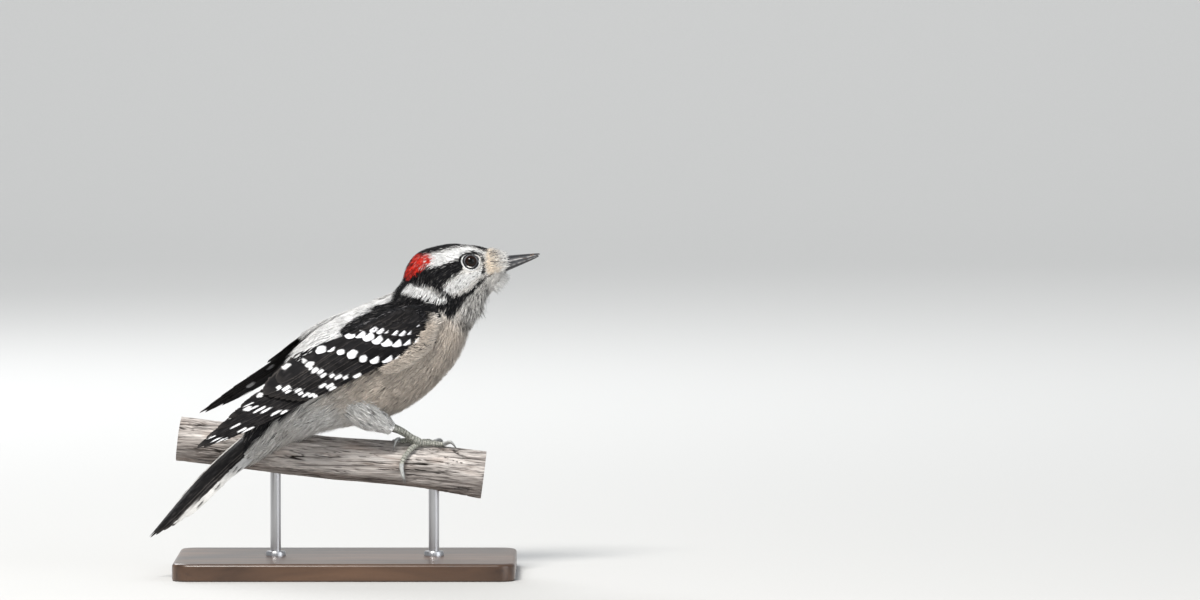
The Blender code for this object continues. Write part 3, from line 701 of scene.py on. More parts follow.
def tuft_points(hide, t, angle, length, width, turn, lift, bend=0.0, way=-1):
    """Tufts on a hide. Each follows the skin from its root: share + way x length x cos(turn) / speed along,
    angle + length x sin(turn) / speed round, at a height that rises to lift x coat depth. bend adds to that
    height, in millimetres, with the square of the way there. Gives rings, roots, tips, and shares and angles
    on the way."""
    s = TUFT_WAY
    fast_t = np.maximum(hide.read(hide.fast_t, t, angle)[:, 0], 12.0)
    fast_a = np.maximum(hide.read(hide.fast_a, t, angle)[:, 0], 2.0)
    tt = np.clip(t[:, None] + way * (length * np.cos(turn) / fast_t)[:, None] * s, 0.0, 0.999)
    aa = angle[:, None] + (length * np.sin(turn) / fast_a)[:, None] * s
    normal = unit(hide.read(hide.normals, tt, aa))
    depth = hide.read(hide.depth, tt, aa)[..., 0]
    height = -0.08 + (lift[:, None] * depth + 0.08) * s**0.75 + np.reshape(bend, (-1, 1)) * s**2
    return *slivers(hide.read(hide.rings, tt, aa) + normal * height[..., None], normal, width), tt, aa


# %% Tufts into pieces
PATCH = 0.003


def grow(name, rings, roots, tips, tints, at_u, at_v):
    """A coat piece from tufts: tints are (tufts, 3) at the tip, darker towards the root, the more so on a
    dark tuft, and each tuft is a patch on the OFBake map at its own root's place."""
    points, quads, tris, places, home = loft(rings, roots, tips)
    pale = step(0.1, 0.5, tints.mean(axis=1))[:, None, None]
    shade = mix(np.array((0.5, 0.86, 1.0)), np.array((0.93, 0.98, 1.0)), pale[:, 0])[..., None]
    by_ring = np.repeat(tints[:, None] * shade, 3, axis=1).reshape(len(tints), -1, 3)
    ends = [tints[:, None] * mix(0.42, 0.90, pale), tints[:, None] * 1.04]
    tint = np.concatenate([by_ring, *ends], axis=1).reshape(-1, 3)
    low = np.clip(np.stack([at_u, at_v], axis=1), 0, 1) * (1 - PATCH)
    piece = make_mesh(name, points, quads, tris, tint, {"OFBake": low[home] + places * PATCH})
    print(name, len(rings), "tufts,", len(quads) * 2 + len(tris), "triangles")
    return settle(piece, plumage, "plumage")


def lay(name, line, normal, width, tints, at_u, at_v):
    """A coat piece from slivers along lines of four places."""
    return grow(name, *slivers(line, np.broadcast_to(normal, line.shape), width), tints, at_u, at_v)


# %% The body's coat
LAYERS = 5.6  # tufts over each other anywhere
UNDER_WING = (0.27, 0.66, 44, 76)  # spine shares and degrees from the back that a wing hides
BILL_FROM = 53.2
SHEEN_TIP = (1.0, 0.95, 0.9)
t, angle = sow(body, LAYERS / (tuft_length(t_grid) * tuft_width(t_grid)))
place = body.read(SKIN, t, angle)
back = from_back(angle)
low_t, high_t, low_back, high_back = UNDER_WING
under_wing = (t > low_t) & (t < high_t) & (back > low_back) & (back < high_back)
keep = ~under_wing & (t <= share_at(BILL_FROM))
t, angle, place, back = t[keep], angle[keep], place[keep], back[keep]
count = len(t)
length = tuft_length(t) * dice.uniform(0.75, 1.2, count)
smooth = step(60, 80, back) * step(0.70, 0.62, t)
width = tuft_width(t) * dice.uniform(0.7, 1.25, count) * (1 + 0.35 * smooth)
turn = 0.22 * ripple(place, 9.0, 21) + dice.normal(0, 0.11, count) * (1 - 0.35 * smooth)
lift = mix(dice.uniform(0.6, 1.0, count), 0.9, 0.5 * smooth)
fluff = np.maximum(step(0.36, 0.20, t), 1.3 * woolly(place)) * step(60, 100, back)
length = length * (1 + 0.4 * fluff)
turn = turn + (dice.normal(0, 0.22, count) + 0.25 * ripple(place, 4.0, 24)) * fluff
bend = fluff * (dice.uniform(-0.3, 0.9, count) + 0.5 * ripple(place, 3.0, 25))
rings, roots, tips, tt, aa = tuft_points(body, t, angle, length, width, turn, lift, bend)
tips_at = mix(roots, tips, 0.7)
blur = np.array((0.30, 0.30, 0.22)) * (1 + 0.4 * (t > HEAD_FROM) * (place[:, 0] < 41))[:, None]
colours = markings(tips_at + dice.normal(0, 1, (count, 3)) * blur, tt[:, 2], aa[:, 2])
bright = colours.mean(axis=1)
jitter = np.exp(dice.normal(0, np.where(bright < 0.1, 0.42, 0.09), count))
jitter = jitter * (1 + 0.10 * ripple(tips_at, 2.2, 23))
colours = colours * jitter[:, None]
face = (t > 0.74) & (t < 0.93)
chance = (bright > 0.3) * (0.015 * (t < 0.7) + face * (0.36 * (back > 118) + 0.09 * (back > 78)))
dark_shaft = dice.random(count) < chance
colours[dark_shaft] *= dice.uniform(0.12, 0.5, dark_shaft.sum())[:, None]
# a few black tufts get lighter, warm grey tips: painted sheen on the black feathers
sheen_tips = (bright < 0.05) & (dice.random(count) < 0.10)
colours[sheen_tips] += dice.uniform(0.02, 0.12, sheen_tips.sum())[:, None] * SHEEN_TIP


# %% The coat in eight pieces
EYE_CLEAR = 3.2


def off_eye(places):
    """Distance from the eye in side view."""
    return np.hypot(places[..., 0] - EYE[0], places[..., 2] - EYE[2])


by_eye = (off_eye(rings).min(axis=(1, 2)) < EYE_CLEAR) | (off_eye(tips) < EYE_CLEAR)
keep = ~(by_eye & (np.abs(tips[:, 1] - EYE[1]) > 5))
COATS = {
    "face_feathers": t > 0.885,
    "crown_feathers": (t > 0.76) & (t <= 0.885) & (back < 70),
    "cheek_feathers": (t > 0.76) & (t <= 0.885) & (back >= 70),
    "neck_feathers": (t > 0.66) & (t <= 0.76),
    "back_feathers": (t <= 0.66) & (back < 70),
    "breast_feathers": (t > 0.42) & (t <= 0.66) & (back >= 70),
    "belly_feathers": (t > 0.22) & (t <= 0.42) & (back >= 70),
    "vent_feathers": (t <= 0.22) & (back >= 70),
}
for name, where in COATS.items():
    pick = where & keep
    grow(name, rings[pick], roots[pick], tips[pick], colours[pick], angle[pick] / (2 * np.pi), t[pick])


# %% [markdown]
# A folded wing is a fan of stiff feathers slid together, laid on the flank like roof tiles. To lay feathers
# on it, its surface is used as a plain: distance from the shoulder towards the tip, and share of the way
# from the upper edge to the lower edge. The frame's wing solid gives both. Its longest direction is found
# from its faces, its outer faces are a cloud of heights, and a height between them is read from the nearest
# few with a flat fit.

# %% A wing as a plain
WING_FRONT = 3.2
BINS, NEARBY = 25, 1 / 32  # places where the edges are measured, and how near a corner counts, by length
PAST_EDGE = 0.06  # what is left of a step past an edge
NO_HEM = 9.0


class Plain:
    """A node's outer surface as heights over a plain: p along it from its front, q from its upper edge down.
    tuck is the share of its width that is drawn in along the upper edge, spill the share left at the tip,
    opens the places along it where one passes into the other, and hem the lowest share near the front."""

    def __init__(self, node, outward, tipward, tuck, spill, opens, hem):
        self.tuck, self.spill, self.opens, self.hem = tuck, spill, opens, hem
        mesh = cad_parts[node].data
        area = read(mesh.polygons, "area", 1)
        centre, corner = read(mesh.polygons, "center", 3) / MM, read(mesh.vertices, "co", 3) / MM
        share = area / area.sum()
        spread = centre - (centre * share).sum(0)
        axes = np.linalg.eigh((spread * share).T @ spread)[1]
        self.long = axes[:, 2] * np.sign(axes[:, 2] @ np.array(tipward))
        self.out = axes[:, 0] * np.sign(axes[:, 0] @ np.array(outward))
        self.down = np.cross(self.out, self.long)
        self.down *= -np.sign(self.down[2])
        self.start = corner[np.argmin(corner @ self.long)]
        faces_out = read(mesh.polygons, "normal", 3) @ self.out > 0.3
        turned = np.stack([self.long, self.down, self.out], axis=1)
        self.cloud = (centre[faces_out] - self.start) @ turned
        p, q = ((corner - self.start) @ turned[:, :2]).T
        self.length = p.max()
        self.bins = np.linspace(0, self.length, BINS)
        near = np.abs(p[None] - self.bins[:, None]) < NEARBY * self.length
        edges = (np.where(near, q, 1e9).min(axis=1), np.where(near, q, -1e9).max(axis=1))
        self.upper, self.lower = [np.convolve(np.pad(edge, 1, mode="edge"), (0.25, 0.5, 0.25), "valid")
                                  for edge in edges]

    def across(self, p, v):
        """q at a p and at a share v of the way from the upper to the lower edge."""
        top = np.interp(p, self.bins, self.upper)
        return top + v * (np.interp(p, self.bins, self.lower) - top)

    def height(self, p, q):
        """Height of the outer surface: a flat fit to the face centres near the place, the nearer the
        weightier."""
        reach = 4.5
        flat = np.stack([np.ravel(p), np.ravel(q)], axis=1)
        found = np.empty(len(flat))
        for k in range(0, len(flat), 20000):
            away = flat[k:k + 20000, None] - self.cloud[None, :, :2]
            weight = np.exp(-(away**2).sum(-1) / (2 * reach**2)) + 1e-9
            basis = np.concatenate([np.ones_like(away[..., :1]), away / reach], axis=-1)
            left = np.einsum("nk,nki,nkj->nij", weight, basis, basis) + 1e-4 * np.eye(3)
            right = np.einsum("nk,nki,k->ni", weight, basis, self.cloud[:, 2])
            found[k:k + 20000] = np.linalg.solve(left, right[..., None])[:, 0, 0]
        return found.reshape(np.shape(p))

    def place(self, p, q, over=0.0, held=True):
        """The point in space over a place on the plain, that far outside the node's surface. Held places past
        the wing's front or upper edge are drawn in to it, and sink under the breast feathers at the front."""
        p, q = np.broadcast_arrays(p, q)
        if held:
            share = (q - self.across(p, 0.0)) / (self.across(p, 1.0) - self.across(p, 0.0))
            over = over - 2.5 * step(WING_FRONT + 5.0, WING_FRONT - 0.5, p)
            over = over - 2.2 * step(WING_FRONT + 8.0, WING_FRONT + 2.0, p) * step(0.5, 0.9, share)
            p = np.where(p < WING_FRONT, WING_FRONT + (p - WING_FRONT) * PAST_EDGE, p)
            edge = self.across(p, np.interp(p, self.opens, (1.5 * self.tuck, self.tuck, self.spill)))
            q = np.where(q < edge, edge + (q - edge) * PAST_EDGE, q)
            hem = self.across(p, mix(self.hem, NO_HEM, step(16.0, 22.0, p)))
            q = np.where(q > hem, hem + (q - hem) * PAST_EDGE, q)
        return (self.start + p[..., None] * self.long + q[..., None] * self.down
                + (self.height(p, q) + over)[..., None] * self.out)


WINGS = {"right": Plain("wing_right", (0, -1, 0.3), (-1, 0, -0.5), 0.02, -0.2, (18, 34, 50), NO_HEM),
         "left": Plain("wing_left", (0, 1, 0.3), (-1, 0, -0.5), 0.34, 0.04, (18, 43, 57), 0.78)}
for side, wing in WINGS.items():
    print("wing", side, "length %.1f" % wing.length, "out", wing.out.round(2), "long", wing.long.round(2))


# %% [markdown]
# Vanes.
# A wing or tail feather is a shaft with a web on each side: long, thin, a little arched, its tip rounded or
# pointed. Here it is a closed strip over the plain: a straight or bowed shaft from a root to a tip, widths
# on the inner and outer side that follow one outline, and a height that falls from feather to feather, so
# that each slides under the one above it. White spots are part of the drawing on each web. A UV map called
# Vane says how far across and along each place lies in millimetres, and the material draws the barbs from
# it.

# %% Feathers on a plain
Vanes = namedtuple("Vanes", "rings roots tips s side away length spot")
VANE_THICK = 0.11


def joined(parts):
    """Several sets of vanes as one."""
    return Vanes(*map(np.concatenate, zip(*parts)))


def deep(values):
    """One value for each feather, ready to meet its ring points."""
    return np.asarray(values)[:, None, None]


def vanes(plain, root, tip, inner, outer, over, rows=26, across=9, bow=0.0, blunt=6.0, arch=0.16, tilt=0.10,
          fray=0.05, sweep=0.35, point=0.5, seed=1):
    """Feathers laid on a plain. root and tip are (feathers, 2) places on it, inner and outer the web widths,
    and over the height of each feather's middle. A place is shaft(s) + side x width x outline(s), moved
    forward along the shaft at its edges by sweep, and outline(s) = sqrt(rise) x (1 - s^blunt)^point. Gives
    rings, roots, tips, and s, side, width and place on the plain at each ring point."""
    root, tip = np.asarray(root, float), np.asarray(tip, float)
    count = len(root)
    inner, outer, over, bow, blunt, point = [np.broadcast_to(v, count)[:, None]
                                             for v in (inner, outer, over, bow, blunt, point)]
    spin = np.random.default_rng(seed)
    s = np.linspace(0, 1, rows) ** 0.9 * 0.985
    side = np.linspace(-1, 1, across)
    ring_side = np.concatenate([side, side[::-1]])
    bottom = np.concatenate([np.zeros(across), np.ones(across)])
    ahead = unit(tip - root)[:, None]
    cross = np.stack([-ahead[..., 1], ahead[..., 0]], axis=-1)
    shaft = root[:, None] + (tip - root)[:, None] * s[:, None] + cross * (bow * 4 * s * (1 - s))[..., None]
    outline = (np.minimum(np.sqrt(s / 0.10), 1) * (1 - s**blunt) ** point)[..., None]
    ragged = 1 + fray * spin.normal(size=(count, rows, 2)).repeat(across, axis=2)
    web = np.where(ring_side < 0, inner, outer)[:, None]
    away = ring_side * web * outline * np.where(np.abs(ring_side) == 1, ragged, 1)
    length = np.linalg.norm(tip - root, axis=1)[:, None]
    along = -sweep * np.abs(away) * (1 - s[:, None])
    spot = shaft[:, :, None] + cross[:, None] * away[..., None] + ahead[:, None] * along[..., None]
    body = 1 - ring_side**2
    underside = bottom * VANE_THICK * (0.35 + 0.65 * body)
    height = over[..., None] + arch * body * outline + tilt * ring_side - underside
    rings = plain.place(spot[..., 0], spot[..., 1], height)
    ends = [plain.place(end[:, 0], end[:, 1], over[:, 0] - VANE_THICK / 2)
            for end in (root - ahead[:, 0] * 0.3, shaft[:, -1] + ahead[:, 0] * length * 0.012)]
    s, side = np.broadcast_to(s[None, :, None], away.shape), np.broadcast_to(ring_side, away.shape)
    return Vanes(rings, *ends, s, side, away, length, spot)


# %% Feathers into pieces
def feather_piece(name, made, tint):
    """A piece of vanes with its colour at each ring point, its Vane map and an OFBake cell for each
    feather."""
    points, quads, tris, corner, home = loft(made.rings, made.roots, made.tips)
    count, length = len(made.rings), made.length
    flat = tint.reshape(count, -1, 3)
    tints = np.concatenate([flat, flat[:, :1], tint[:, -1].mean(axis=1, keepdims=True)],
                           axis=1).reshape(-1, 3)
    vane = np.stack([made.away, made.s * length[..., None]], axis=-1).reshape(count, -1, 2)
    ends = np.stack([np.zeros((count, 2)), np.concatenate([np.zeros_like(length), length], axis=1)], axis=-1)
    vane = np.concatenate([vane, ends], axis=1).reshape(-1, 2)
    columns = math.ceil(math.sqrt(count))
    cell = np.stack([home % columns, home // columns], axis=1)
    maps = {"Vane": vane, "OFBake": (cell + 0.04 + 0.92 * corner) / columns}
    piece = make_mesh(name, points, quads, tris, tints, maps, sharp=50)
    print(name, count, "feathers,", len(quads) * 2 + len(tris), "triangles")
    return settle(piece, vane_look, "flight_feathers")


# %% Barbs
# stiff feathers: barbs as fine slanting ridges on either side of a raised shaft
BARB_PITCH = 0.16
vane_look = Look("vane", 0.55, Specular_IOR_Level=0.07)
vane = vane_look.add("SeparateXYZ", {0: vane_look.add("UVMap", uv_map="Vane").outputs["UV"]}).outputs
off = vane_look.calc("ABSOLUTE", vane["X"])
slant = vane_look.calc("MULTIPLY_ADD", off, -1.3, vane["Y"])
bent = vane_look.calc("MULTIPLY_ADD", vane_look.noise(700.0, 2.0), 0.5, slant)
barb = vane_look.calc("SINE", vane_look.calc("MULTIPLY", bent, 2 * math.pi / BARB_PITCH))
fleck = vane_look.noise(300.0, 4.0)
vane_look.tint(vane_look.ramp(barb, -1.0, 1.0, 0.82, 1.12), vane_look.vary(fleck, 0.80, 1.18))
vane_look.bump(vane_look.calc("MULTIPLY_ADD", barb, 0.12, vane_look.ramp(off, 0.05, 0.22, 1.0, 0.0)), 0.6)


# %% [markdown]
# The folded wing, from its top feather down.
# Flight feathers first: three broad tertials on top, six secondaries under them, seven primaries under
# those, which alone reach the wing's tip. Each feather's lower edge is what shows of it. Over their roots
# lie the greater coverts, then the median and the lesser ones, each row shorter and nearer the shoulder.
# Rows are given as bent lines on the plain and the feathers are spread evenly along them. White spots sit
# in bars across all the flight feathers about every 12 mm, and at the tips of the greater and median
# coverts.

# %% Rows and spots
BARS = {  # bent lines on the plain, p and q, that the white spots of the flight feathers lie on
    "near": ((49.2, -8.6), (48.4, -5.2), (47.1, -2.3), (45.0, 1.3), (42.6, 3.6), (38.5, 5.8), (34.5, 7.0)),
    "far": ((61.8, -8.0), (61.9, -4.0), (59.0, -0.8), (56.4, 1.4), (54.4, 3.8), (51.0, 6.6)),
    "edge": ((47.5, 4.0), (45.5, 5.8), (43.0, 7.2)),
    "hand": ((73.4, -3.0), (71.6, -0.8), (69.4, 1.2), (66.6, 3.8), (62.0, 6.0)),
    "hand_far": ((82.0, -1.6), (80.2, 0.4), (79.4, 3.2), (75.0, 5.4)),
    "tip": ((90.0, 0.6), (88.4, 2.4), (86.0, 4.4)),
}
SINGLE_SPOTS = {  # p, q, half length and half width of spots near the upper edge
    "right": ((55.0, -8.0, 1.5, 0.9), (67.5, -3.4, 1.3, 0.7), (73.5, -1.4, 1.4, 0.8)),
    "left": ((57.5, -0.6, 2.0, 0.9), (66.0, -0.8, 1.6, 0.8), (74.5, 1.8, 1.6, 0.9), (62.0, 3.0, 1.2, 0.7)),
}


def along_row(line, count):
    """Places evenly spread along a bent line."""
    line = np.array(line, float)
    run = np.concatenate([[0], np.cumsum(np.linalg.norm(np.diff(line, axis=0), axis=1))])
    at = np.linspace(0, run[-1], count)
    return np.stack([np.interp(at, run, line[:, k]) for k in (0, 1)], axis=1)


def oval(spot, centre_p, centre_q, long, wide):
    """1 inside an oval on the plain and 0 outside, with a soft edge."""
    return step(1.14, 0.90, np.hypot((spot[..., 0] - centre_p) / long, (spot[..., 1] - centre_q) / wide))


WEB_BLACK, WEB_BROWN, WEB_WORN = (0.0070, 0.0067, 0.0074), (0.040, 0.037, 0.038), (0.105, 0.093, 0.085)


def web_colour(made, seed, worn=0.5):
    """Black webs, a little browner towards worn edges and tips, each feather with a tone of its own."""
    spin = np.random.default_rng(seed)
    own = np.exp(spin.normal(0, 0.25, (len(made.rings), 1, 1)))
    base = np.array(WEB_BLACK) * own[..., None]
    edge = step(0.84, 1.0, np.abs(made.side)) * 1.1 + step(0.9, 1.0, made.s) * 0.4
    fade = worn * np.clip(edge + 0.10 * ripple(made.spot, 3.0, seed), 0, 1)
    lengthwise = np.stack([made.away * 1.3, made.spot[..., 0] * 0.16 + 7.0 * own], axis=-1)
    base = tone(base, WEB_BROWN, 0.55 * step(0.1, 0.9, ripple(lengthwise, 1.0, seed + 9)))
    return tone(base, WEB_WORN, fade)


# %% Flight feathers
SPOT_WHITE = (0.80, 0.80, 0.81)


def flight_feathers(plain, side_name):
    """Tertials, secondaries and primaries: one array of vanes with their bars of spots."""
    arm, hand = 9, 7
    count = arm + hand
    middle_q = np.array((-7.6, -4.9, -2.8, -1.0, 0.7, 2.3, 3.7, 4.9, 6.0))
    middle_q = np.maximum(middle_q, plain.across(45, 0.0) + 1.6 + 0.9 * np.arange(arm))
    slope = np.linspace(0.13, -0.02, arm)
    tip_p = np.array((60.5, 66.5, 65.5, 64.0, 62.5, 61.0, 59.5, 58.0, 56.0))
    hand_q = np.array((-3.4, -2.0, -0.7, 0.6, 1.9, 3.1, 4.2))
    hand_tip = ((75.5, -2.9), (81.0, -1.5), (86.0, -0.2), (91.0, 0.9), (95.0, 1.9), (93.0, 2.9), (86.5, 4.0))
    root_q = np.concatenate([middle_q - slope * 23, hand_q + 1.6])
    root = np.stack([np.repeat((22.0, 34.0), (arm, hand)), root_q], axis=1)
    tip = np.concatenate([np.stack([tip_p, middle_q + slope * (tip_p - 45)], axis=1), hand_tip])
    inner = np.repeat((5.5, 5.0, 3.6), (3, 6, hand))
    outer = np.repeat((2.4, 1.9, 1.6, 1.2, 0.95), (1, 1, 1, 6, hand))
    made = vanes(plain, root, tip, inner, outer, 0.35 - 0.13 * np.arange(count), rows=84, across=13,
                 blunt=np.repeat((7.0, 3.2), (arm, hand)), bow=np.repeat((0.35, 0.5), (arm, hand)), arch=0.14,
                 seed=31)
    colour = web_colour(made, 32)
    spot = made.spot
    shaft_p, shaft_q = spot[:, :, 6, 0], spot[:, :, 6, 1]
    feather = np.arange(count)
    spin = np.random.default_rng(33)
    for number, line in enumerate(BARS.values()):
        line = np.array(sorted(line, key=lambda place: place[1]))
        shaft_at = shaft_q.mean(axis=1)
        for _ in range(3):
            at = np.interp(shaft_at, line[:, 1], line[:, 0])
            shaft_at = np.array([np.interp(*three) for three in zip(at, shaft_p, shaft_q)])
        reached = (shaft_at > line[0, 1] - 0.9) & (shaft_at < line[-1, 1] + 0.9)
        if number < 3:
            reached &= (feather < arm) | (number == 1) & (feather > 13)
            signs, longs, wides, chance = (1, -1), (0.8, 1.5), (0.55, 0.8), 0.95
        else:
            reached &= feather >= arm
            signs, longs, wides, chance = (1,), (1.1, 2.2), (0.5, 0.75), 0.72
        for sign in signs:
            web = np.where(sign > 0, outer, 1.6)
            centre = shaft_at + sign * web * spin.uniform(0.45, 0.7, count)
            long, wide = spin.uniform(*longs, count), web * spin.uniform(*wides, count)
            rag = 1 + 0.25 * ripple(spot, 2.0, 34 + number)
            white = oval(spot, deep(at + spin.normal(0, 0.45, count)), deep(centre), deep(long) * rag,
                         deep(wide) * rag)
            white = white * deep(spin.random(count) < chance) * deep(reached)
            colour = tone(colour, SPOT_WHITE, white * step(0.05, 0.2, np.abs(made.side)))
    for at_p, at_q, long, wide in SINGLE_SPOTS[side_name]:
        rag = 1 + 0.2 * ripple(spot, 2.0, 39)
        colour = tone(colour, SPOT_WHITE, oval(spot, at_p, at_q, long * rag, wide * rag))
    return feather_piece("flight_feathers_" + side_name, made, colour)


# %% Coverts
COVERT_WHITE = (0.81, 0.81, 0.84)


def covert_row(plain, line, count, length, wide, over, spots, seed, rows=34, across=15):
    """One row of coverts. The line runs through their spots, or just short of their tips; spots gives long,
    wide and how sure a spot is."""
    spin = np.random.default_rng(seed)
    at = along_row(line, count)
    grow_by = spin.uniform(0.92, 1.08, count)
    ahead = unit(np.stack([np.ones(count), 0.12 + spin.normal(0, 0.03, count)], axis=1))
    tip = at + ahead * (1.5 + spin.normal(0, 0.15, count))[:, None]
    root = tip - ahead * (length * grow_by)[:, None]
    made = vanes(plain, root, tip, wide * 0.7 * grow_by, wide * 0.38 * grow_by,
                 over + 0.16 * np.linspace(1, -1, count), rows=rows, across=across, blunt=5.0, arch=0.28,
                 tilt=0.14, bow=0.15, seed=seed)
    colour = web_colour(made, seed + 1, 0.35)
    long, broad, sure = spots
    size = deep(spin.uniform(0.75, 1.15, count)) * deep(spin.random(count) < sure)
    size = size * (1 + 0.16 * ripple(made.spot, 2.4, seed + 2))
    centre = at + spin.normal(0, 0.3, (count, 2))
    white = oval(made.spot, deep(centre[:, 0]), deep(centre[:, 1]), long * size + 1e-3, broad * size + 1e-3)
    return made, tone(colour, COVERT_WHITE, white)


COVERTS = {  # a row's line of p and q, feathers, length, width, height, and spots' length, width and chance
    "alula": (((28.0, 7.6), (21.5, 7.9), (16.0, 6.9)), 4, 9.5, 3.0, -0.55, (0.5, 0.3, 0.3)),
    "greater_coverts": (((42.6, -9.2), (40.4, -6.6), (36.4, -2.2), (34.0, 0.6), (32.2, 2.8), (29.8, 4.8),
                         (26.4, 6.5), (21.6, 7.5), (17.0, 7.8)), 9, 15.0, 4.6, 0.45, (1.7, 1.4, 1.0)),
    "median_coverts": (((31.4, -8.4), (30.0, -6.2), (28.0, -4.2), (25.2, -1.0), (23.2, 1.6), (19.5, 3.5),
                        (14.5, 5.0), (10.4, 5.0), (7.0, 3.4)), 10, 10.5, 5.4, 0.95, (2.3, 2.1, 1.0)),
}
LESSER = np.array(((30.0, -9.6), (26.4, -6.6), (22.8, -3.4), (19.6, -0.6), (16.4, 1.4), (12.2, 2.6),
                   (8.0, 2.6)))
LESSER_SPOTS = ((1.3, 1.0, 0.8), (0.9, 0.7, 0.3), (0.6, 0.4, 0.0))


def below_edge(plain, line, share):
    """A line on the plain, moved down where it lies above a share of the way from the upper edge."""
    return np.stack([line[:, 0], np.maximum(line[:, 1], plain.across(line[:, 0], share))], axis=1)


def coverts(plain, side_name):
    """The alula, the greater and median coverts, and three rows of lesser coverts up to the shoulder."""
    for number, (name, (line, *sizes)) in enumerate(COVERTS.items()):
        made, colour = covert_row(plain, below_edge(plain, np.array(line), 0.06), *sizes, 40 + number)
        feather_piece(f"{name}_{side_name}", made, colour)
    parts = []
    for k, spots in enumerate(LESSER_SPOTS):
        line = LESSER - np.array((3.6, 0.35)) * k
        line = below_edge(plain, line[line[:, 0] > 1.0], 0.02)
        parts.append(covert_row(plain, line, 11 - k, 6.6, 3.6, 1.25 + 0.13 * k, spots, 50 + k, rows=16,
                                across=7))
    made, colours = zip(*parts)
    feather_piece(f"lesser_coverts_{side_name}", joined(made), np.concatenate(colours))


# %% Small feathers along the wing's edges
SHEEN, HIGHLIGHT_GREY, SILVER = (0.06, 0.06, 0.066), (0.17, 0.165, 0.17), (0.70, 0.70, 0.70)


def leaning(p, q, turn, length):
    """Lines of four places on a plain, each from a root in a direction of its own. Gives p and q."""
    return (p[:, None] + (length * np.cos(turn))[:, None] * TUFT_WAY,
            q[:, None] + (length * np.sin(turn))[:, None] * TUFT_WAY)


def shoulder_tufts(plain, side_name, count=2600):
    """The smallest, hair-like feathers, from the wing's front edge to the lesser coverts: root + length x s
    along the wing, with a turn of its own, rising from the surface."""
    border = np.array(((29.0, -9.0), (21.0, -5.8), (16.6, -3.2), (12.4, -1.0), (7.6, 0.8), (3.0, 1.6)))
    p = WING_FRONT - 3.0 + 30 * dice.random(count) ** 1.1
    top = plain.across(p, 1.6 * plain.tuck - 0.06)
    low = np.interp(p, border[::-1, 0], border[::-1, 1])
    p, top, low = p[low > top], top[low > top], low[low > top]
    count = len(p)
    q = top + (low + dice.normal(0, 0.35, count) - top) * dice.random(count)
    spot = np.stack([p, q], axis=1)
    turn = 0.12 + 0.35 * ripple(spot, 7.0, 62) + dice.normal(0, 0.14, count)
    pp, qq = leaning(p, q, turn, dice.uniform(2.6, 4.2, count))
    rise = dice.uniform(0.7, 1.7, count)[:, None]
    line = plain.place(pp, qq, 0.2 + rise * TUFT_WAY**0.6 - 1.5 * step(7.0, 1.5, pp), held=False)
    sheen = 0.7 * dice.random(count) ** 2 * step(-0.2, 0.6, ripple(spot, 5.0, 64))
    tint = tone(BLACK, SHEEN, sheen)
    # a few grey strands: painted highlights on the black hair, with the painted sheen above
    tint = tone(tint, HIGHLIGHT_GREY, (dice.random(count) < 0.10) * 0.8)
    lay("shoulder_feathers_" + side_name, line, plain.out, dice.uniform(0.28, 0.46, count), tint, p / 40,
        (q + 20) / 40)


def border_tufts(plain, side_name, count=2700):
    """Body feathers that lap over the wing's front and lower front edge: root outside the border, tip over
    it."""
    stops = np.array((WING_FRONT, 10.0, 17.0, 25.0))
    border = np.stack([stops, plain.across(stops, 1.0)], axis=1)
    spot = along_row([(WING_FRONT, plain.across(WING_FRONT, 0.0)), *border], count)
    low = step(3.5, 8.0, spot[:, 0])
    away = dice.uniform(0.0, 2.8, count) + 0.4 * low
    outward = np.stack([-away * (1 - 0.75 * low), away * low * 0.9], axis=1)
    spot = spot + outward + dice.normal(0, 0.2, (count, 2))
    turn = mix(0.06, -0.24, low) + 0.25 * ripple(spot, 5.0, 65) + dice.normal(0, 0.10, count)
    pp, qq = leaning(*spot.T, turn, dice.uniform(2.4, 4.4, count))
    rise = dice.uniform(1.7, 2.9, count) + (0.4 - 0.35 * away) * low + bell(spot[:, 0] - 5.5, 3.0)
    line = plain.place(pp, qq, -1.5 + rise[:, None] * TUFT_WAY**0.7, held=False)
    tint = markings(line[:, 0], *locate(line[:, 0])) * np.exp(dice.normal(0, 0.15, count))[:, None]
    lay("wing_border_feathers_" + side_name, line, plain.out, dice.uniform(0.22, 0.36, count), tint,
        np.arange(count) / count, away / 4)


def back_edge_tufts(side, place_name, low_p, high_p, low_v, high_v, count):
    """Feathers of the back that lie over a wing's upper edge, white near the edge and black lower down."""
    plain = WINGS[side]
    p, share = dice.uniform(low_p, high_p, count), dice.uniform(low_v, high_v, count)
    q = plain.across(p, share)
    turn, length = dice.normal(0.05, 0.16, count), dice.uniform(3.4, 5.6, count)
    pp, qq = leaning(p, q, turn, length)
    line = plain.place(pp, qq, dice.uniform(-1.3, 0.1, count)[:, None] + 0.5 * TUFT_WAY, held=False)
    tint = tone(SILVER, WHITE, dice.random(count))
    tint[dice.uniform(0.30, 0.42, count) < share] = BLACK
    lay("back_edge_feathers_" + place_name, line, plain.out, dice.uniform(0.3, 0.5, count), tint, p / 60,
        (q + 30) / 60)


# %% Both wings
for side_name, plain in WINGS.items():
    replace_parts(flight_feathers(plain, side_name), "wing_" + side_name)
    coverts(plain, side_name)
    shoulder_tufts(plain, side_name)
    border_tufts(plain, side_name)
back_edge_tufts("left", "left_front", 7.0, 24.0, 0.0, 0.58, 1500)
back_edge_tufts("left", "left", 20.0, 49.0, 0.0, 0.36, 1600)
back_edge_tufts("right", "right", 33.0, 48.0, -0.16, 0.0, 200)


# %% [markdown]
# Thighs, throat and the bristles round the bill.
# The thigh's feathers hang down it to the ankle, longer and looser than those of the flank. Bristles at the
# base of the bill lie forward over it, those of the chin stand out below it, and the throat ends in loose
# wisps that blur the outline. They are the same slivers, on lines of their own.

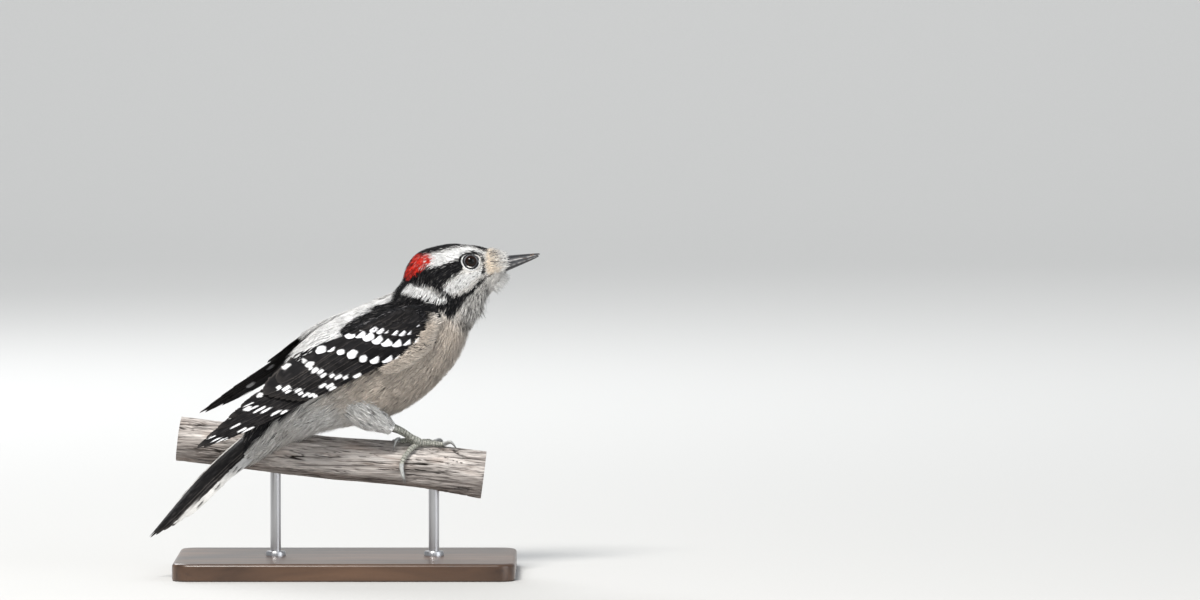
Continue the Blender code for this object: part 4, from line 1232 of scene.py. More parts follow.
# %% Thigh feathers
THIGH_TUFTS = 4.4  # for each square millimetre
THIGH_GREY, THIGH_WHITE, THIGH_PAINTED_SHADE = (0.74, 0.73, 0.71), (0.90, 0.895, 0.88), (0.10, 0.092, 0.086)
for side, hide in thighs.items():
    t, angle = sow(hide, THIGH_TUFTS * np.ones(hide.cell.shape))
    count = len(t)
    place = hide.read(hide.rings, t, angle)
    length = dice.uniform(4.2, 8.0, count) * mix(1.0, 0.6, t)
    turn = dice.normal(0, 0.14, count) + 0.55 * ripple(place, 3.6, 61)
    lift, bend = dice.uniform(0.5, 1.15, count), dice.uniform(-0.3, 0.7, count) + 0.7 * ripple(place, 2.6, 63)
    bend = bend * mix(1.2, 0.2, t)
    width = dice.uniform(0.3, 0.5, count)
    rings, roots, tips, *_ = tuft_points(hide, t, angle, length, width, turn, lift, bend, 1)
    tint = tone(THIGH_GREY, THIGH_WHITE, step(0.2, 0.9, t + 0.4 * dice.random(count) - 0.2))
    # dark patches on a few thigh tufts, away from hip and ankle: painted shade between thigh and belly
    dusk = step(0.0, 0.6, ripple(mix(roots, tips, 0.6), 3.6, 62)) * step(0.0, 0.2, t) * step(1.0, 0.7, t)
    tint = tone(tint, THIGH_PAINTED_SHADE, 0.75 * dusk * (dice.random(count) < 0.4))
    tint = tint * np.exp(dice.normal(0, 0.14, count))[:, None]
    grow("thigh_feathers_" + side, rings, roots, tips, tint, angle / (2 * np.pi), t)


# %% Bristles and wisps
def bristles(name, t, angle, heading, length, width, rise, sag, tint):
    """Slivers that leave the skin in a heading of their own: root + heading x length x s + normal x rise x s,
    less sag x s^2 of height."""
    s = TUFT_WAY[..., None]
    place, normal = body.read(body.rings, t, angle)[:, None], unit(body.read(body.normals, t, angle))[:, None]
    line = place + heading[:, None] * deep(length) * s + normal * (deep(rise) * s - 0.1)
    line = line - np.array((0, 0, 1.0)) * deep(sag) * s**2
    lay(name, line, normal, width, tint, angle / (2 * np.pi), t)


def spread(count, low_x, high_x, low_back, high_back):
    """Random shares and angles between two places along the head and two distances from the middle of the
    back."""
    t = dice.uniform(share_at(low_x), share_at(high_x), count)
    off = np.radians(dice.uniform(low_back, high_back, count)) * dice.choice((-1, 1), count)
    return t, (np.pi / 2 + off) % (2 * np.pi)


# %% Bristles round the bill
BILL_ROOT, BILL_TIP = np.array((50.0, 0.7, 104.7)), np.array((66.2, 0.9, 108.8))
BILL_AXIS = unit(BILL_TIP - BILL_ROOT)
DARK_BRISTLE = 0.06
WHITE_BRISTLE, CREAM_BRISTLE = (0.90, 0.89, 0.87), (0.90, 0.88, 0.84)
count = 1500
t, angle = spread(count, 49.0, 53.4, 8, 112)
heading = unit(BILL_AXIS + dice.normal(0, 0.09, (count, 3)))
forward = (t - t.min()) / (t.max() - t.min())
tint = tone(CREAM, WHITE_BRISTLE, np.clip(forward * 1.3 + dice.normal(0, 0.2, count), 0, 1))
tint = tint * dice.uniform(0.85, 1.1, count)[:, None]
tint[dice.random(count) < 0.12] = DARK_BRISTLE
bristles("nasal_bristles", t, angle, heading, dice.uniform(1.6, 3.2, count), dice.uniform(0.12, 0.22, count),
         dice.uniform(-0.1, 0.45, count), dice.uniform(0.0, 0.4, count), tint)

front = body_part[-1]
middle, pick = front.mean(axis=0), dice.integers(0, len(front), count)
outward, share = unit(front[pick] - middle), dice.uniform(0.6, 1.0, count)[:, None]
heading = unit(BILL_AXIS + 0.16 * outward + dice.normal(0, 0.09, (count, 3)))
below = step(0.0, -0.7, outward[:, 2])
length = dice.uniform(1.1, 2.6, count) * mix(1.0, 0.55, below)
root = mix(middle, front[pick], share)[:, None] - 0.3 * BILL_AXIS
line = root + heading[:, None] * deep(length) * TUFT_WAY[..., None]
tint = tone(CREAM_BRISTLE, GREYWHITE, below) * dice.uniform(0.8, 1.05, count)[:, None]
tint[dice.random(count) < 0.12] = DARK_BRISTLE
lay("bill_base_bristles", line, outward[:, None], dice.uniform(0.13, 0.24, count), tint, pick / len(front),
    share[:, 0])


# %% Chin and throat
count = 420
t, angle = spread(count, 47.5, 53.0, 140, 180)
ahead = BILL_AXIS * dice.uniform(0.6, 1.0, (count, 1)) + np.array((0, 0, -0.35))
heading = unit(ahead + dice.normal(0, 0.22, (count, 3)))
tint = tone(GREYWHITE, WHITE, dice.random(count))
bristles("chin_bristles", t, angle, heading, dice.uniform(1.2, 3.2, count), dice.uniform(0.12, 0.2, count),
         dice.uniform(0.1, 0.7, count), dice.uniform(-0.1, 0.7, count), tint)

PALE_WISP, DARK_WISP = (0.78, 0.76, 0.73), 0.07
count = 800
t, angle = spread(count, 31.0, 47.0, 128, 180)
backward = -body.read(np.gradient(SKIN, axis=0), t, angle)
heading = unit(unit(backward) + dice.normal(0, 0.22, (count, 3)))
tint = tone(GREYWHITE, PALE_WISP, dice.random(count))
tint[dice.random(count) < 0.22] = DARK_WISP
bristles("throat_wisps", t, angle, heading, dice.uniform(2.0, 4.4, count), dice.uniform(0.14, 0.26, count),
         dice.uniform(0.8, 2.0, count), dice.uniform(0.0, 0.6, count), tint)


# %% [markdown]
# The eyes.
# A small bird's eye is a dark wet ball of which lids show about a third. The ball is rings round its line
# of sight, coloured by the angle from that line: pupil, a brown iris, a black rim. The lid is a soft rim
# that lies on ball and skin, and round it stands a broken ring of tiny pale feathers.

# %% Eyeballs
def from_axis(centre, axis, radius, stops, around):
    """Rings round an axis: centre + axis x radius x cos(stop) + sides x radius x sin(stop)."""
    side = unit(np.cross(axis, (0.13, 0.02, 0.99)))
    turn = turns(around)
    return centre + radius * circle(stops[:, None], axis, circle(turn, side, np.cross(axis, side)))


eye_look = Look("wet_eye", 0.04, Specular_IOR_Level=0.35, IOR=1.38)
eye_look.tint(eye_look.vary(eye_look.noise(2500.0, 2.0), 0.7, 1.3))
EYE_RADIUS, EYE_OUT = 2.35, 7.2
PUPIL, IRIS = (0.002, 0.002, 0.002), (0.012, 0.0045, 0.0025)
eye_frames = {}
for side, sign in (("right", -1), ("left", 1)):
    centre = EYE + (0, sign * EYE_OUT, 0)
    sight = unit(np.array((0.16, sign, 0.10)))
    eye_frames[side] = (centre, sight)
    stops = np.linspace(0.05, np.pi - 0.05, 40)
    rings = from_axis(centre, sight, EYE_RADIUS, stops, 48)
    iris = np.interp(np.degrees(stops), (0, 27, 30, 56, 62, 180), (0, 0, 1, 1, 0, 0))
    tint = tone(PUPIL, IRIS, np.repeat(iris[:, None], 48, axis=1))
    settle(solid("eyeball_" + side, rings, tint), eye_look, "eye", "eye_" + side)


# %% Lids and eye-rings
def bare_skin(name, scale, strength):
    """Bare skin: mottled, with small round scales raised between fine creases."""
    look = Look(name, 0.5, Specular_IOR_Level=0.35)
    cells = look.add("TexVoronoi", {"Vector": look.place, "Scale": scale}).outputs["Distance"]
    mottle = look.noise(scale * 0.4, 4.0)
    look.tint(look.ramp(cells, 0.2, 0.7, 1.1, 0.7), look.vary(mottle, 0.75, 1.25))
    look.bump(cells, strength).invert = True
    return look


lid_look = bare_skin("lid_skin", 4200.0, 0.5)
LID_WIDE, LID_TALL = 2.12, 1.98
LID_THICK, LID_RISE = 0.30, 0.24
LID_BLACK, LID_GREY = (0.035, 0.035, 0.04), (0.11, 0.11, 0.12)
RING_BLACK, RING_WHITE = (0.022, 0.022, 0.025), (0.84, 0.84, 0.84)
for side, (centre, sight) in eye_frames.items():
    across = unit(np.cross(sight, (0, 0, 1)))
    upward = np.cross(across, sight)
    turn = turns(96)
    wide = LID_WIDE + 0.10 * np.cos(2 * turn)
    tall = LID_TALL - 0.06 * np.sin(turn)
    around = (wide * np.cos(turn))[:, None] * across + (tall * np.sin(turn))[:, None] * upward
    seat = np.sqrt(EYE_RADIUS**2 - LID_TALL**2) - 0.10
    line = centre + sight * seat + around
    fold = turns(12)
    out, up = np.cos(fold)[:, None] * unit(around)[:, None], np.sin(fold)[:, None] * sight
    rings = line[:, None] + LID_THICK * out + LID_RISE * up
    count, each = rings.shape[:2]
    i, j = np.arange(count)[:, None], np.arange(each)[None, :]
    ni, nj = (i + 1) % count, (j + 1) % each
    quads = np.stack([i * each + j, i * each + nj, ni * each + nj, ni * each + j], axis=-1).reshape(-1, 4)
    facing = np.cross(rings[0, 1] - rings[0, 0], rings[1, 0] - rings[0, 0]) @ (rings[0, 0] - line[0])
    quads = quads if facing > 0 else quads[:, ::-1]
    tint = tone(LID_BLACK, LID_GREY, 0.5 + 0.5 * np.sin(3 * turn))
    lid = make_mesh("eyelid_" + side, rings.reshape(-1, 3), quads, np.zeros((0, 3), int),
                    np.repeat(tint, each, axis=0))
    settle(lid, lid_look, "scaled_skin")
    count = 1500
    turn = dice.uniform(0, 2 * np.pi, count)
    far = dice.uniform(2.3, 4.0, count)
    out = circle(turn, across, upward)
    round_way = np.cross(sight, out)
    round_way *= np.where(round_way[:, :1] < 0, 1, -1)
    root = centre + sight * (seat - 0.02 - 0.25 * (far[:, None] - 2.35)) + out * far[:, None]
    s = TUFT_WAY[..., None]
    reach = deep(dice.uniform(0.7, 1.2, count))
    heading = unit(round_way + 0.25 * out)[:, None]
    line = root[:, None] + heading * reach * s - out[:, None] * 0.16 * (reach * s) ** 2 + sight * 0.16 * s
    t, angle = (v.reshape(count, -1) for v in locate(line.reshape(-1, 3)))
    ground, normal = body.read(body.rings, t, angle), unit(body.read(body.normals, t, angle))
    height = ((line - ground) * normal).sum(axis=-1)
    most = mix(1.0, 0.35, step(2.4, 3.1, far))[:, None] + 0.2 * s[..., 0]
    line = line + normal * (np.clip(height, 0.04 + 0.3 * s[..., 0], most) - height)[..., None]
    ahead, above = out[:, 0], out[:, 2]
    pale = mix(0.55, 1.0, step(0.7, 0.3, above + 0.3 * ahead)) * step(2.66, 2.74, far) * step(3.2, 3.12, far)
    pale = np.maximum(pale, 0.9 * step(0.0, -0.3, above) * step(2.7, 2.8, far))
    tint = tone(RING_BLACK, RING_WHITE, pale)
    tint = tone(tint, markings(line[:, 2], t[:, 2], angle[:, 2]), step(3.15, 3.3, far))
    tint = tint * np.exp(dice.normal(0, 0.12, count))[:, None]
    lay("eye_ring_" + side, line, sight, dice.uniform(0.13, 0.2, count), tint, turn / (2 * np.pi), far / 4)


# %% [markdown]
# The tail.
# Twelve stiff feathers fold into a roof: the middle pair on top, pointed and black, each next pair under
# the last and a little shorter. The outer ones are white with a few black bars and show along the edge.
# They are the same vanes as the wing's, on a place function of their own: a ridge with two slopes, kept
# clear of the perch.

# %% Tail feathers
class Roof:
    """The folded tail as a place function: p runs from its root to its tip, q across, right of the ridge
    minus."""

    def __init__(self, root, tip, roll, slope, lift):
        self.root, self.run = np.array(root), np.subtract(tip, root)
        self.length, self.lift, self.slope = np.linalg.norm(self.run), lift, math.radians(slope)
        left, up = frames_along(np.array((tip, root), float), np.array((roll, roll)))[1:]
        self.left, self.up = left[0], up[0]

    def place(self, p, q, over=0.0):
        p, q, over = np.broadcast_arrays(p, q, over)
        s = (p / self.length)[..., None]
        soft = np.hypot(q, 0.5)
        side = (q / soft * math.sin(self.slope))[..., None]
        ridge = self.root + s * self.run + self.lift * np.sin(np.pi * np.clip(s, 0, 1)) ** 2 * self.up
        flat = (q * math.cos(self.slope))[..., None] * self.left
        fall = ((soft - 0.5) * math.sin(self.slope))[..., None] * self.up
        out = math.cos(self.slope) * self.up + side * self.left
        return clear_of_perch(ridge + flat - fall + over[..., None] * out, over + TAIL_ROOM)


TAIL_ROOM = 1.9
tail = Roof((-24.0, -11.0, 55.4), (-65.8, -25.4, 14.1), 29.0, 25.0, 1.6)
TAIL_SHAFTS = np.array((0.9, 1.9, 2.9, 3.9, 4.9, 5.5))
TAIL_TIPS = np.array((0.3, 1.0, 1.9, 3.0, 4.6, 6.3))
TAIL_LENGTHS = np.array((60.5, 58.5, 55.5, 52.5, 47.0, 27.0))
parts = []
for sign in (-1, 1):
    root = np.stack([np.zeros(6), sign * TAIL_SHAFTS * 0.45], axis=1)
    tip = np.stack([TAIL_LENGTHS, sign * TAIL_TIPS], axis=1)
    inner, outer = [(1.5, 1.9, 2.4, 2.8, 3.0, 2.6), (2.5, 2.5, 2.4, 2.2, 2.0, 1.2)][::sign]
    over = 0.25 - 0.17 * np.arange(6) + 0.05 * (sign < 0)
    parts.append(vanes(tail, root, tip, inner, outer, over, rows=70, across=13,
                       bow=sign * 1.2 * TAIL_SHAFTS / 5, blunt=(3.2, 3.6, 4.0, 4.5, 5.0, 4.0),
                       point=(0.8, 0.7, 0.62, 0.58, 0.55, 0.6), arch=0.18, tilt=-0.04 * sign, fray=0.045,
                       sweep=0.6, seed=70 + sign))


# %% The tail's black and white
TAIL_WHITE = (1.0, 0.985, 0.96)
made = joined(parts)
colour = web_colour(made, 72, 0.55)
number = deep(np.tile(np.arange(6), 2))
outward = made.away * deep(np.repeat((-1, 1), 6))
reach = made.s * made.length[..., None]
rag = 0.5 * ripple(made.spot, 2.6, 73)
edge = outward + 0.6 * rag
white = np.where(number == 2, step(0.7, 1.2, edge) * step(38, 46, reach), 0.0)
tip_white = step(42, 45, reach + 1.5 * rag) * step(50.6, 49.0, reach)
white = np.where(number == 3, np.maximum(step(0.2, 0.9, edge) * step(14, 18, reach), tip_white), white)
white = np.where(number >= 4, step(10, 16, reach), white)
for at, size in ((23.0, 0.8), (31.5, 1.0), (40.0, 1.1)):
    bar = step(size + 0.7, size, np.abs(reach - at - 1.2 * np.abs(made.away) + 0.6 * rag))
    white = np.where(number >= 4, white * (1 - bar * step(0.95, 0.25, np.abs(made.side))), white)
streak = ripple(np.stack([made.away * 6, reach * 0.4, 0 * reach], axis=-1), 1.5, 74)
# the outer feathers' white is dimmed to about 0.56 grey: painted shade; the faint streaks are the feathers' own
pale = (0.56 + 0.10 * streak[..., None]) * TAIL_WHITE
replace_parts(feather_piece("tail_feathers", made, tone(colour, pale, np.clip(white, 0, 1))), "tail")


# %% [markdown]
# The bill.
# A straight chisel: two horny halves, each ridged outside and flat where they meet, worn and flecked at the
# tip. Each is rings of an arch over a flat, with a keel along the middle and a faint second ridge below it.

# %% Bill
def horn(name, stretch):
    """Horn: long fine streaks, a little rough where they run."""
    look = Look(name, 0.30, Specular_IOR_Level=0.4)
    streak = look.noise(stretch, 5.0, Roughness=0.65)
    look.tint(look.vary(streak, 0.6, 1.4))
    look.bump(streak, 0.35)
    return look


BILL_HEIGHT, BILL_WIDTH = 6.0, 5.2
BILL_SLATE, BILL_HIGHLIGHT, BILL_WORN = (0.060, 0.062, 0.067), (0.46, 0.45, 0.44), (0.22, 0.13, 0.08)
bill_look = horn("bill_horn", (350.0, 2200.0, 2200.0))
bill_side = unit(np.cross((0, 0, 1), BILL_AXIS))
# half, way up, share of the length, the arch that its colour darkens from and to, how dark it gets, and the
# arch and strength of its painted highlight, a pale streak along it
HALVES = (("bill_upper", 1, 1.0, (0.35, 0.95), 0.95, 0.30, 0.8),
          ("bill_lower", -1, 0.965, (0.2, 0.9), 0.8, 0.5, 0.5))
for name, way, share, darken, deepest, highlight_at, highlight_share in HALVES:
    top = np.cross(BILL_AXIS, bill_side) * way
    long = np.linalg.norm(BILL_TIP - BILL_ROOT) * share
    t = np.linspace(0, 1, 90)[:, None]
    taper = (1 - t) ** 0.86
    a = np.concatenate([np.linspace(0, np.pi, 33), np.pi + np.linspace(0, np.pi, 13)[1:-1]])[None, :]
    arch = np.clip(np.sin(a), 0, 1)
    keel = 0.07 * bell(a - np.pi / 2, 0.13)
    ridge = 0.05 * bell(np.abs(a - np.pi / 2) - 0.95, 0.12) * (a < np.pi)
    width = 0.5 * BILL_WIDTH * (0.12 + 0.88 * taper) * (1 + ridge)
    height = BILL_HEIGHT / 2 * (0.16 + 0.84 * taper)
    across = np.sign(np.cos(a)) * np.abs(np.cos(a)) ** 0.9
    rise = arch**1.15 * (1 + keel) + 0.02 - 0.10 * np.clip(-np.sin(a), 0, 1) * taper
    line = BILL_ROOT + BILL_AXIS * long * t + top * 0.05 * taper
    rings = line[:, None] + (width * across)[..., None] * bill_side + (height * rise)[..., None] * top
    rough = 0.035 * ripple(rings, 1.4, 81) * step(0.3, 1.0, t)
    rings = rings + rough[..., None] * unit(rings - line[:, None])
    tint = tone(BILL_SLATE, BLACK, step(*darken, arch) * deepest + 0 * t)
    # a broken pale streak along each half: painted highlight
    edge = highlight_share * bell(arch - highlight_at, 0.13) * step(0.0, 0.2, t)
    tint = tone(tint, BILL_HIGHLIGHT, edge * step(-0.8, 0.4, ripple(rings, 2.4, 82)))
    worn = step(0.25, 0.7, ripple(rings, 1.3, 83)) * step(0.45, 0.9, t)
    tint = tone(tint, BILL_WORN, 0.7 * worn)
    ends = (rings[0].mean(axis=0), rings[-1].mean(axis=0) + BILL_AXIS * 0.08)
    settle(solid(name + "_horn", rings, tint, ends, sharp=50), bill_look, "bill_horn", name)


# %% [markdown]
# Legs and feet.
# The lower leg and the toes are bare: a row of broad scales down the front of the leg and along the top of
# each toe, fine grains at the sides, pads below each joint. A woodpecker has two toes ahead and two behind,
# and the claws are strong hooks, deeper than wide. Each toe follows the perch from the hub at the leg's
# end: steps along the perch and turns round it. Scales are raised edges in the mesh, with painted shade
# that darkens each crease between scales and grains.

# %% Legs, toes and claws
ANKLE = {"right": (13.6, -9.2, 51.0), "left": (13.6, 6.6, 50.6)}
HUB = {"right": (24.8, 25.0), "left": (24.2, -35.0)}
# step in x and turn round the perch, from the hub, at a toe's middle knuckle, its end and its claw's tip
TOES = {
    "right": {"outer_back": ((-3.0, 26.0), (-5.6, 62.0), (-4.2, 112.0)),
              "inner_back": ((-3.4, -8.0), (-6.6, -6.0), (-8.6, 30.0)),
              "outer_front": ((4.2, -6.0), (8.8, -11.0), (13.2, 3.0)),
              "inner_front": ((2.8, -26.0), (5.6, -42.0), (9.0, -54.0))},
    "left": {"outer_back": ((-3.0, -28.0), (-5.2, -62.0), (-3.6, -108.0)),
             "inner_back": ((-3.8, 4.0), (-7.0, 1.0), (-9.6, -25.0)),
             "outer_front": ((4.0, -14.0), (8.6, -22.0), (12.4, -44.0)),
             "inner_front": ((3.6, 6.0), (7.0, -2.0), (10.6, -16.0))},
}


def over_perch(x, angle_deg, height):
    """A point over the perch's surface, the angle taken from its top towards the right side."""
    y, z, radius = perch_at(x)
    a = math.radians(angle_deg)
    return np.array((x, y - (radius + height) * math.sin(a), z + (radius + height) * math.cos(a)))


def limb_rings(line, radii, away_from, around=40):
    """Rings round a line, each with its first point on the side away from a place or a line of places. Gives
    the rings, the directions out and the angle of each from that side."""
    ahead = unit(np.gradient(line, axis=0))
    top = line - away_from
    top = unit(top - (top * ahead).sum(1, keepdims=True) * ahead)
    side = np.cross(ahead, top)
    a = turns(around)
    out = circle(a[None], top[:, None], side[:, None])
    off = np.abs((a + np.pi) % (2 * np.pi) - np.pi)
    return line[:, None] + radii[:, None, None] * out, out, off[None, :]


SCALE_GREEN, SCALE_PALE, CREASE_PAINTED_SHADE = (0.30, 0.31, 0.27), (0.42, 0.42, 0.37), (0.030, 0.028, 0.025)


def scaled_limb(name, line, radii, away_from, pitch, joints, node):
    """Bare leg or toe: broad scales on its upper side, each with a raised lower edge, and pads below its
    joints."""
    rings, out, off = limb_rings(line, radii, away_from)
    run = np.concatenate([[0], np.cumsum(np.linalg.norm(np.diff(line, axis=0), axis=1))])[:, None]
    saw = (run / pitch + 0.10 * np.cos(off) + 0.16 * ripple(rings, 2.0, 94)) % 1.0
    scute = step(0.0, 0.16, saw) * (1 - 0.55 * saw)
    upper_side = step(2.0, 1.4, off)
    grain = step(-0.15, 0.35, ripple(rings, 0.55, 91, 16))
    pad = np.clip(np.sin(np.pi * joints * run / run[-1]), -0.3, 1) * step(1.9, 2.8, off)
    rise = 0.10 * scute * upper_side + 0.07 * grain * (1 - upper_side) + 0.16 * pad - 0.06
    rings = rings + rise[..., None] * out
    # dark between the scales and between the side grains: painted shade in the creases
    crease = mix(0.30 + 0.70 * grain, step(0.02, 0.22, saw) * step(1.0, 0.93, saw), upper_side)
    tint = tone(SCALE_GREEN, SCALE_PALE, step(-0.6, 0.6, ripple(rings, 1.6, 92)))
    tint = tone(CREASE_PAINTED_SHADE, tint, crease)
    settle(solid(name, rings, tint), foot_look, "scaled_skin", node)


CLAW_DEPTH = 1.12  # at its base, from the middle to the ridge
CLAW_GREY, CLAW_TIP, CLAW_SIDE = (0.40, 0.41, 0.40), (0.05, 0.045, 0.04), (0.10, 0.10, 0.10)


def claw_horn(name, line, away_from, node):
    """A claw: a hook deeper than wide, round above and narrow below, its tip sharp and darker."""
    t = np.linspace(0, 1, len(line))
    rings, out, off = limb_rings(line, np.ones(len(line)), away_from, 28)
    depth = CLAW_DEPTH * (1 - 0.92 * t**1.35)
    keel = 1 - 0.35 * step(1.4, 2.6, off)
    flat = np.sqrt(np.cos(off) ** 2 + (0.76 * np.sin(off)) ** 2)
    rings = line[:, None] + (depth[:, None] * keel * flat)[..., None] * out
    dark = step(0.35, 1.0, t)[:, None]
    tint = tone(CLAW_GREY, CLAW_TIP, dark * 0.85 + 0.0 * off)
    tint = tone(tint, CLAW_SIDE, 0.75 * step(0.5, 1.2, off) * step(2.4, 1.6, off) * (1 - 0.5 * dark))
    ends = (rings[0].mean(axis=0), rings[-1].mean(axis=0) + unit(line[-1] - line[-2]) * 0.15)
    settle(solid(name, rings, tint, ends), claw_look, "claw_horn", node)


# %% Both legs, from the ankle to the claws
foot_look = bare_skin("scaled_skin", 2600.0, 0.4)
claw_look = horn("claw_horn", (900.0, 900.0, 900.0))
for side, toes in TOES.items():
    x, angle = HUB[side]
    hub, ankle = over_perch(x, angle, 1.5), np.array(ANKLE[side])
    bow = (ankle + hub) / 2 + (0, 0, 0.9)
    shin = smooth_rows([ankle - unit(bow - ankle) * 2.5, ankle, bow, hub, hub + unit(hub - bow) * 1.2], 150)
    t = np.linspace(-0.2, 1, 150)
    ankle_swell = 0.35 * bell(t, 0.16)
    hub_swell = 0.45 * bell(t - 0.9, 0.14)
    swell = 1.1 + ankle_swell + hub_swell - 0.9 * step(0.96, 1.02, t)
    scaled_limb("leg_skin_" + side, shin, swell, shin - (1.0, 0, 1.0), 1.15, 1.0, "tarsus_" + side)
    for toe_name, stops in toes.items():
        knuckle, end, tip = [(x + dx, angle + turn) for dx, turn in stops]
        middle = [(p + q) / 2 for p, q in zip(end, tip)]
        places = [over_perch(x, angle, 1.0), over_perch(*knuckle, 1.0), over_perch(*end, 1.05),
                  over_perch(*middle, 2.3), over_perch(*tip, 0.55)]
        line = smooth_rows(places, 300)
        parting = int(np.argmin(np.linalg.norm(line - places[2], axis=1)))
        middle_line = np.stack([line[:, 0], *perch_at(line[:, 0])[:2]], axis=1)
        toe = slice(0, parting + 8)
        t = np.linspace(0, 1, parting + 8)
        knuckles = 0.95 * (1.0 - 0.16 * t + 0.10 * np.cos(6 * np.pi * t)) - 0.6 * step(0.93, 1.0, t)
        scaled_limb(f"{toe_name}_toe_skin_{side}", line[toe], knuckles, middle_line[toe], 0.95, 3.0,
                    f"toe_{toe_name}_{side}")
        claw = slice(parting - 6, 300, 2)
        claw_horn(f"{toe_name}_claw_horn_{side}", line[claw], middle_line[claw], f"claw_{toe_name}_{side}")


# %% [markdown]
# The perch.
# Dead wood with no bark left: the sun has bleached it silver grey, and it has split along the grain. Its
# form is rings round a bent line, with low ribs, long cracks where a smooth noise stretched along the
# branch passes through zero, and flat sawn ends. The same noise gives the colour: pale on the ribs, and
# dark in the cracks and on the underside, which is painted shade.

# %% Perch
WOOD_ROWS, WOOD_AROUND = 500, 190
line = smooth_rows(PERCH, WOOD_ROWS)
left, up = frames_along(line[:, :3], np.zeros(WOOD_ROWS))[1:]
a = turns(WOOD_AROUND)[None, :]
share = np.linspace(0, 1, WOOD_ROWS)[:, None]
out = circle(a, left[:, None], up[:, None])
grain_place = out * line[:, 3][:, None, None]
grain_place[..., 0] = line[:, 0][:, None]


def along_grain(size, long, seed, waves=14):
    """Noise of a size across the grain and a length along it, read round the branch with no seam."""
    warp = 0.9 * ripple(grain_place * (1 / 30, 1 / 9, 1 / 9), 1.0, seed + 500)[..., None]
    return ripple((grain_place + warp * (0, 1, 1)) * (1 / long, 1 / size, 1 / size), 1.0, seed, waves)


ribs = along_grain(4.2, 60, 101)
fine = along_grain(1.1, 22, 102, 18)
finest = along_grain(0.45, 9, 103, 24)
crack_at = np.abs(along_grain(3.4, 46, 104)) + 0.10 * np.abs(fine)
where = step(-0.15, 0.35, along_grain(9.0, 26, 105))
cracks = bell(crack_at, 0.075) * where
small = bell(along_grain(1.5, 18, 106, 18), 0.11) * step(-0.3, 0.4, along_grain(6.0, 14, 107))
wander = 0.22 * np.sin(3 * a + 5 * share) + 0.16 * np.sin(5 * a - 9 * share + 1.0) - 0.38
radius = line[:, 3:4] + wander + 0.16 * ribs + 0.10 * fine + 0.05 * finest - 0.75 * cracks - 0.22 * small
rings = line[:, None, :3] + radius[..., None] * out


# %% Colour and sawn ends
WOOD_BROWN, WOOD_SILVER, WOOD_WARM = (0.19, 0.155, 0.135), (0.76, 0.715, 0.68), (0.40, 0.27, 0.20)
CRACK_PAINTED_SHADE, UNDERSIDE_WOOD_SHADE = (0.035, 0.026, 0.022), (0.12, 0.10, 0.09)
SAWN_BROWN, SAWN_PALE, SAWN_SPLIT = (0.30, 0.22, 0.15), (0.50, 0.40, 0.30), (0.06, 0.04, 0.03)
thread = along_grain(0.7, 45, 111, 24)
pale = 0.56 + 0.30 * fine + 0.20 * finest + 0.22 * ribs - 0.55 * step(0.35, 0.9, thread)
tint = tone(WOOD_BROWN, WOOD_SILVER, np.clip(pale, 0, 1))
warm = step(0.1, 0.8, along_grain(7.0, 20, 108))
tint = tone(tint, WOOD_WARM, 0.30 * warm)
# dark in the long and the small cracks: painted shade
tint = tone(tint, CRACK_PAINTED_SHADE, np.clip(1.1 * cracks + 0.7 * small, 0, 1))
# darker on the branch's underside: painted shade
underside_shade = step(0.1, -0.8, np.sin(a) + 0.3 * ribs)
tint = tone(tint, UNDERSIDE_WOOD_SHADE, 0.35 * underside_shade)
shares = np.array((0.12, 0.3, 0.5, 0.68, 0.82, 0.92, 0.985))[:, None]
caps = []
for end in (0, -1):
    middle = line[end, :3]
    disc = middle + (rings[end] - middle)[None] * shares[..., None]
    growth = np.sin(shares * line[end, 3] / 0.55 * 2 * np.pi + 0.8 * np.sin(2 * a))
    saw = ripple(disc * (4.0, 1.0, 1.0), 2.2, 110)
    check = bell(np.sin(2.5 * a + 0.7 * np.sin(5 * shares)), 0.09) * step(0.1, 0.6, shares)
    cap = tone(SAWN_BROWN, SAWN_PALE, 0.5 + 0.3 * growth + 0.2 * saw)
    caps.append((disc, tone(cap, SAWN_SPLIT, 0.8 * check)))
rings = np.concatenate([caps[0][0], rings, caps[1][0][::-1]])
tint = np.concatenate([caps[0][1], tint, caps[1][1][::-1]])
wood = Look("weathered_wood", 0.85, Specular_IOR_Level=0.2)
grain = wood.noise((28.0, 2600.0, 2600.0), 6.0, Roughness=0.7)
splits = wood.ramp(wood.noise((13.0, 1000.0, 1000.0), 3.0, Roughness=0.6), 0.37, 0.46, 0.42, 1.0)
wood.tint(wood.ramp(grain, 0.34, 0.66, 0.5, 1.4), splits)
wood.bump(wood.calc("MULTIPLY_ADD", splits, 0.8, grain), 0.9, 0.0004)
perch = solid("branch", rings, tint, (line[0, :3], line[-1, :3]), sharp=55)
settle(perch, wood, "weathered_wood", "perch")
print("branch", len(perch.data.polygons), "faces")


# %% [markdown]
# The stand.
# A flat base of dark varnished wood with a rounded edge, and two steel rods that enter the branch from
# below. It stays plain, so that nothing draws the eye from the bird.

# %% Stand
def rounded_outline(length, width, corner):
    """Points round a rectangle with round corners, anticlockwise: corner's middle + corner x (cos, sin)."""
    a = np.radians(90 * np.arange(4)[:, None] + np.linspace(0, 90, 13))
    way = np.array(((1, 1), (-1, 1), (-1, -1), (1, -1)))[:, None]
    middle = way * (np.array((length, width)) / 2 - corner)
    return (middle + corner * np.stack([np.cos(a), np.sin(a)], axis=-1)).reshape(-1, 2)


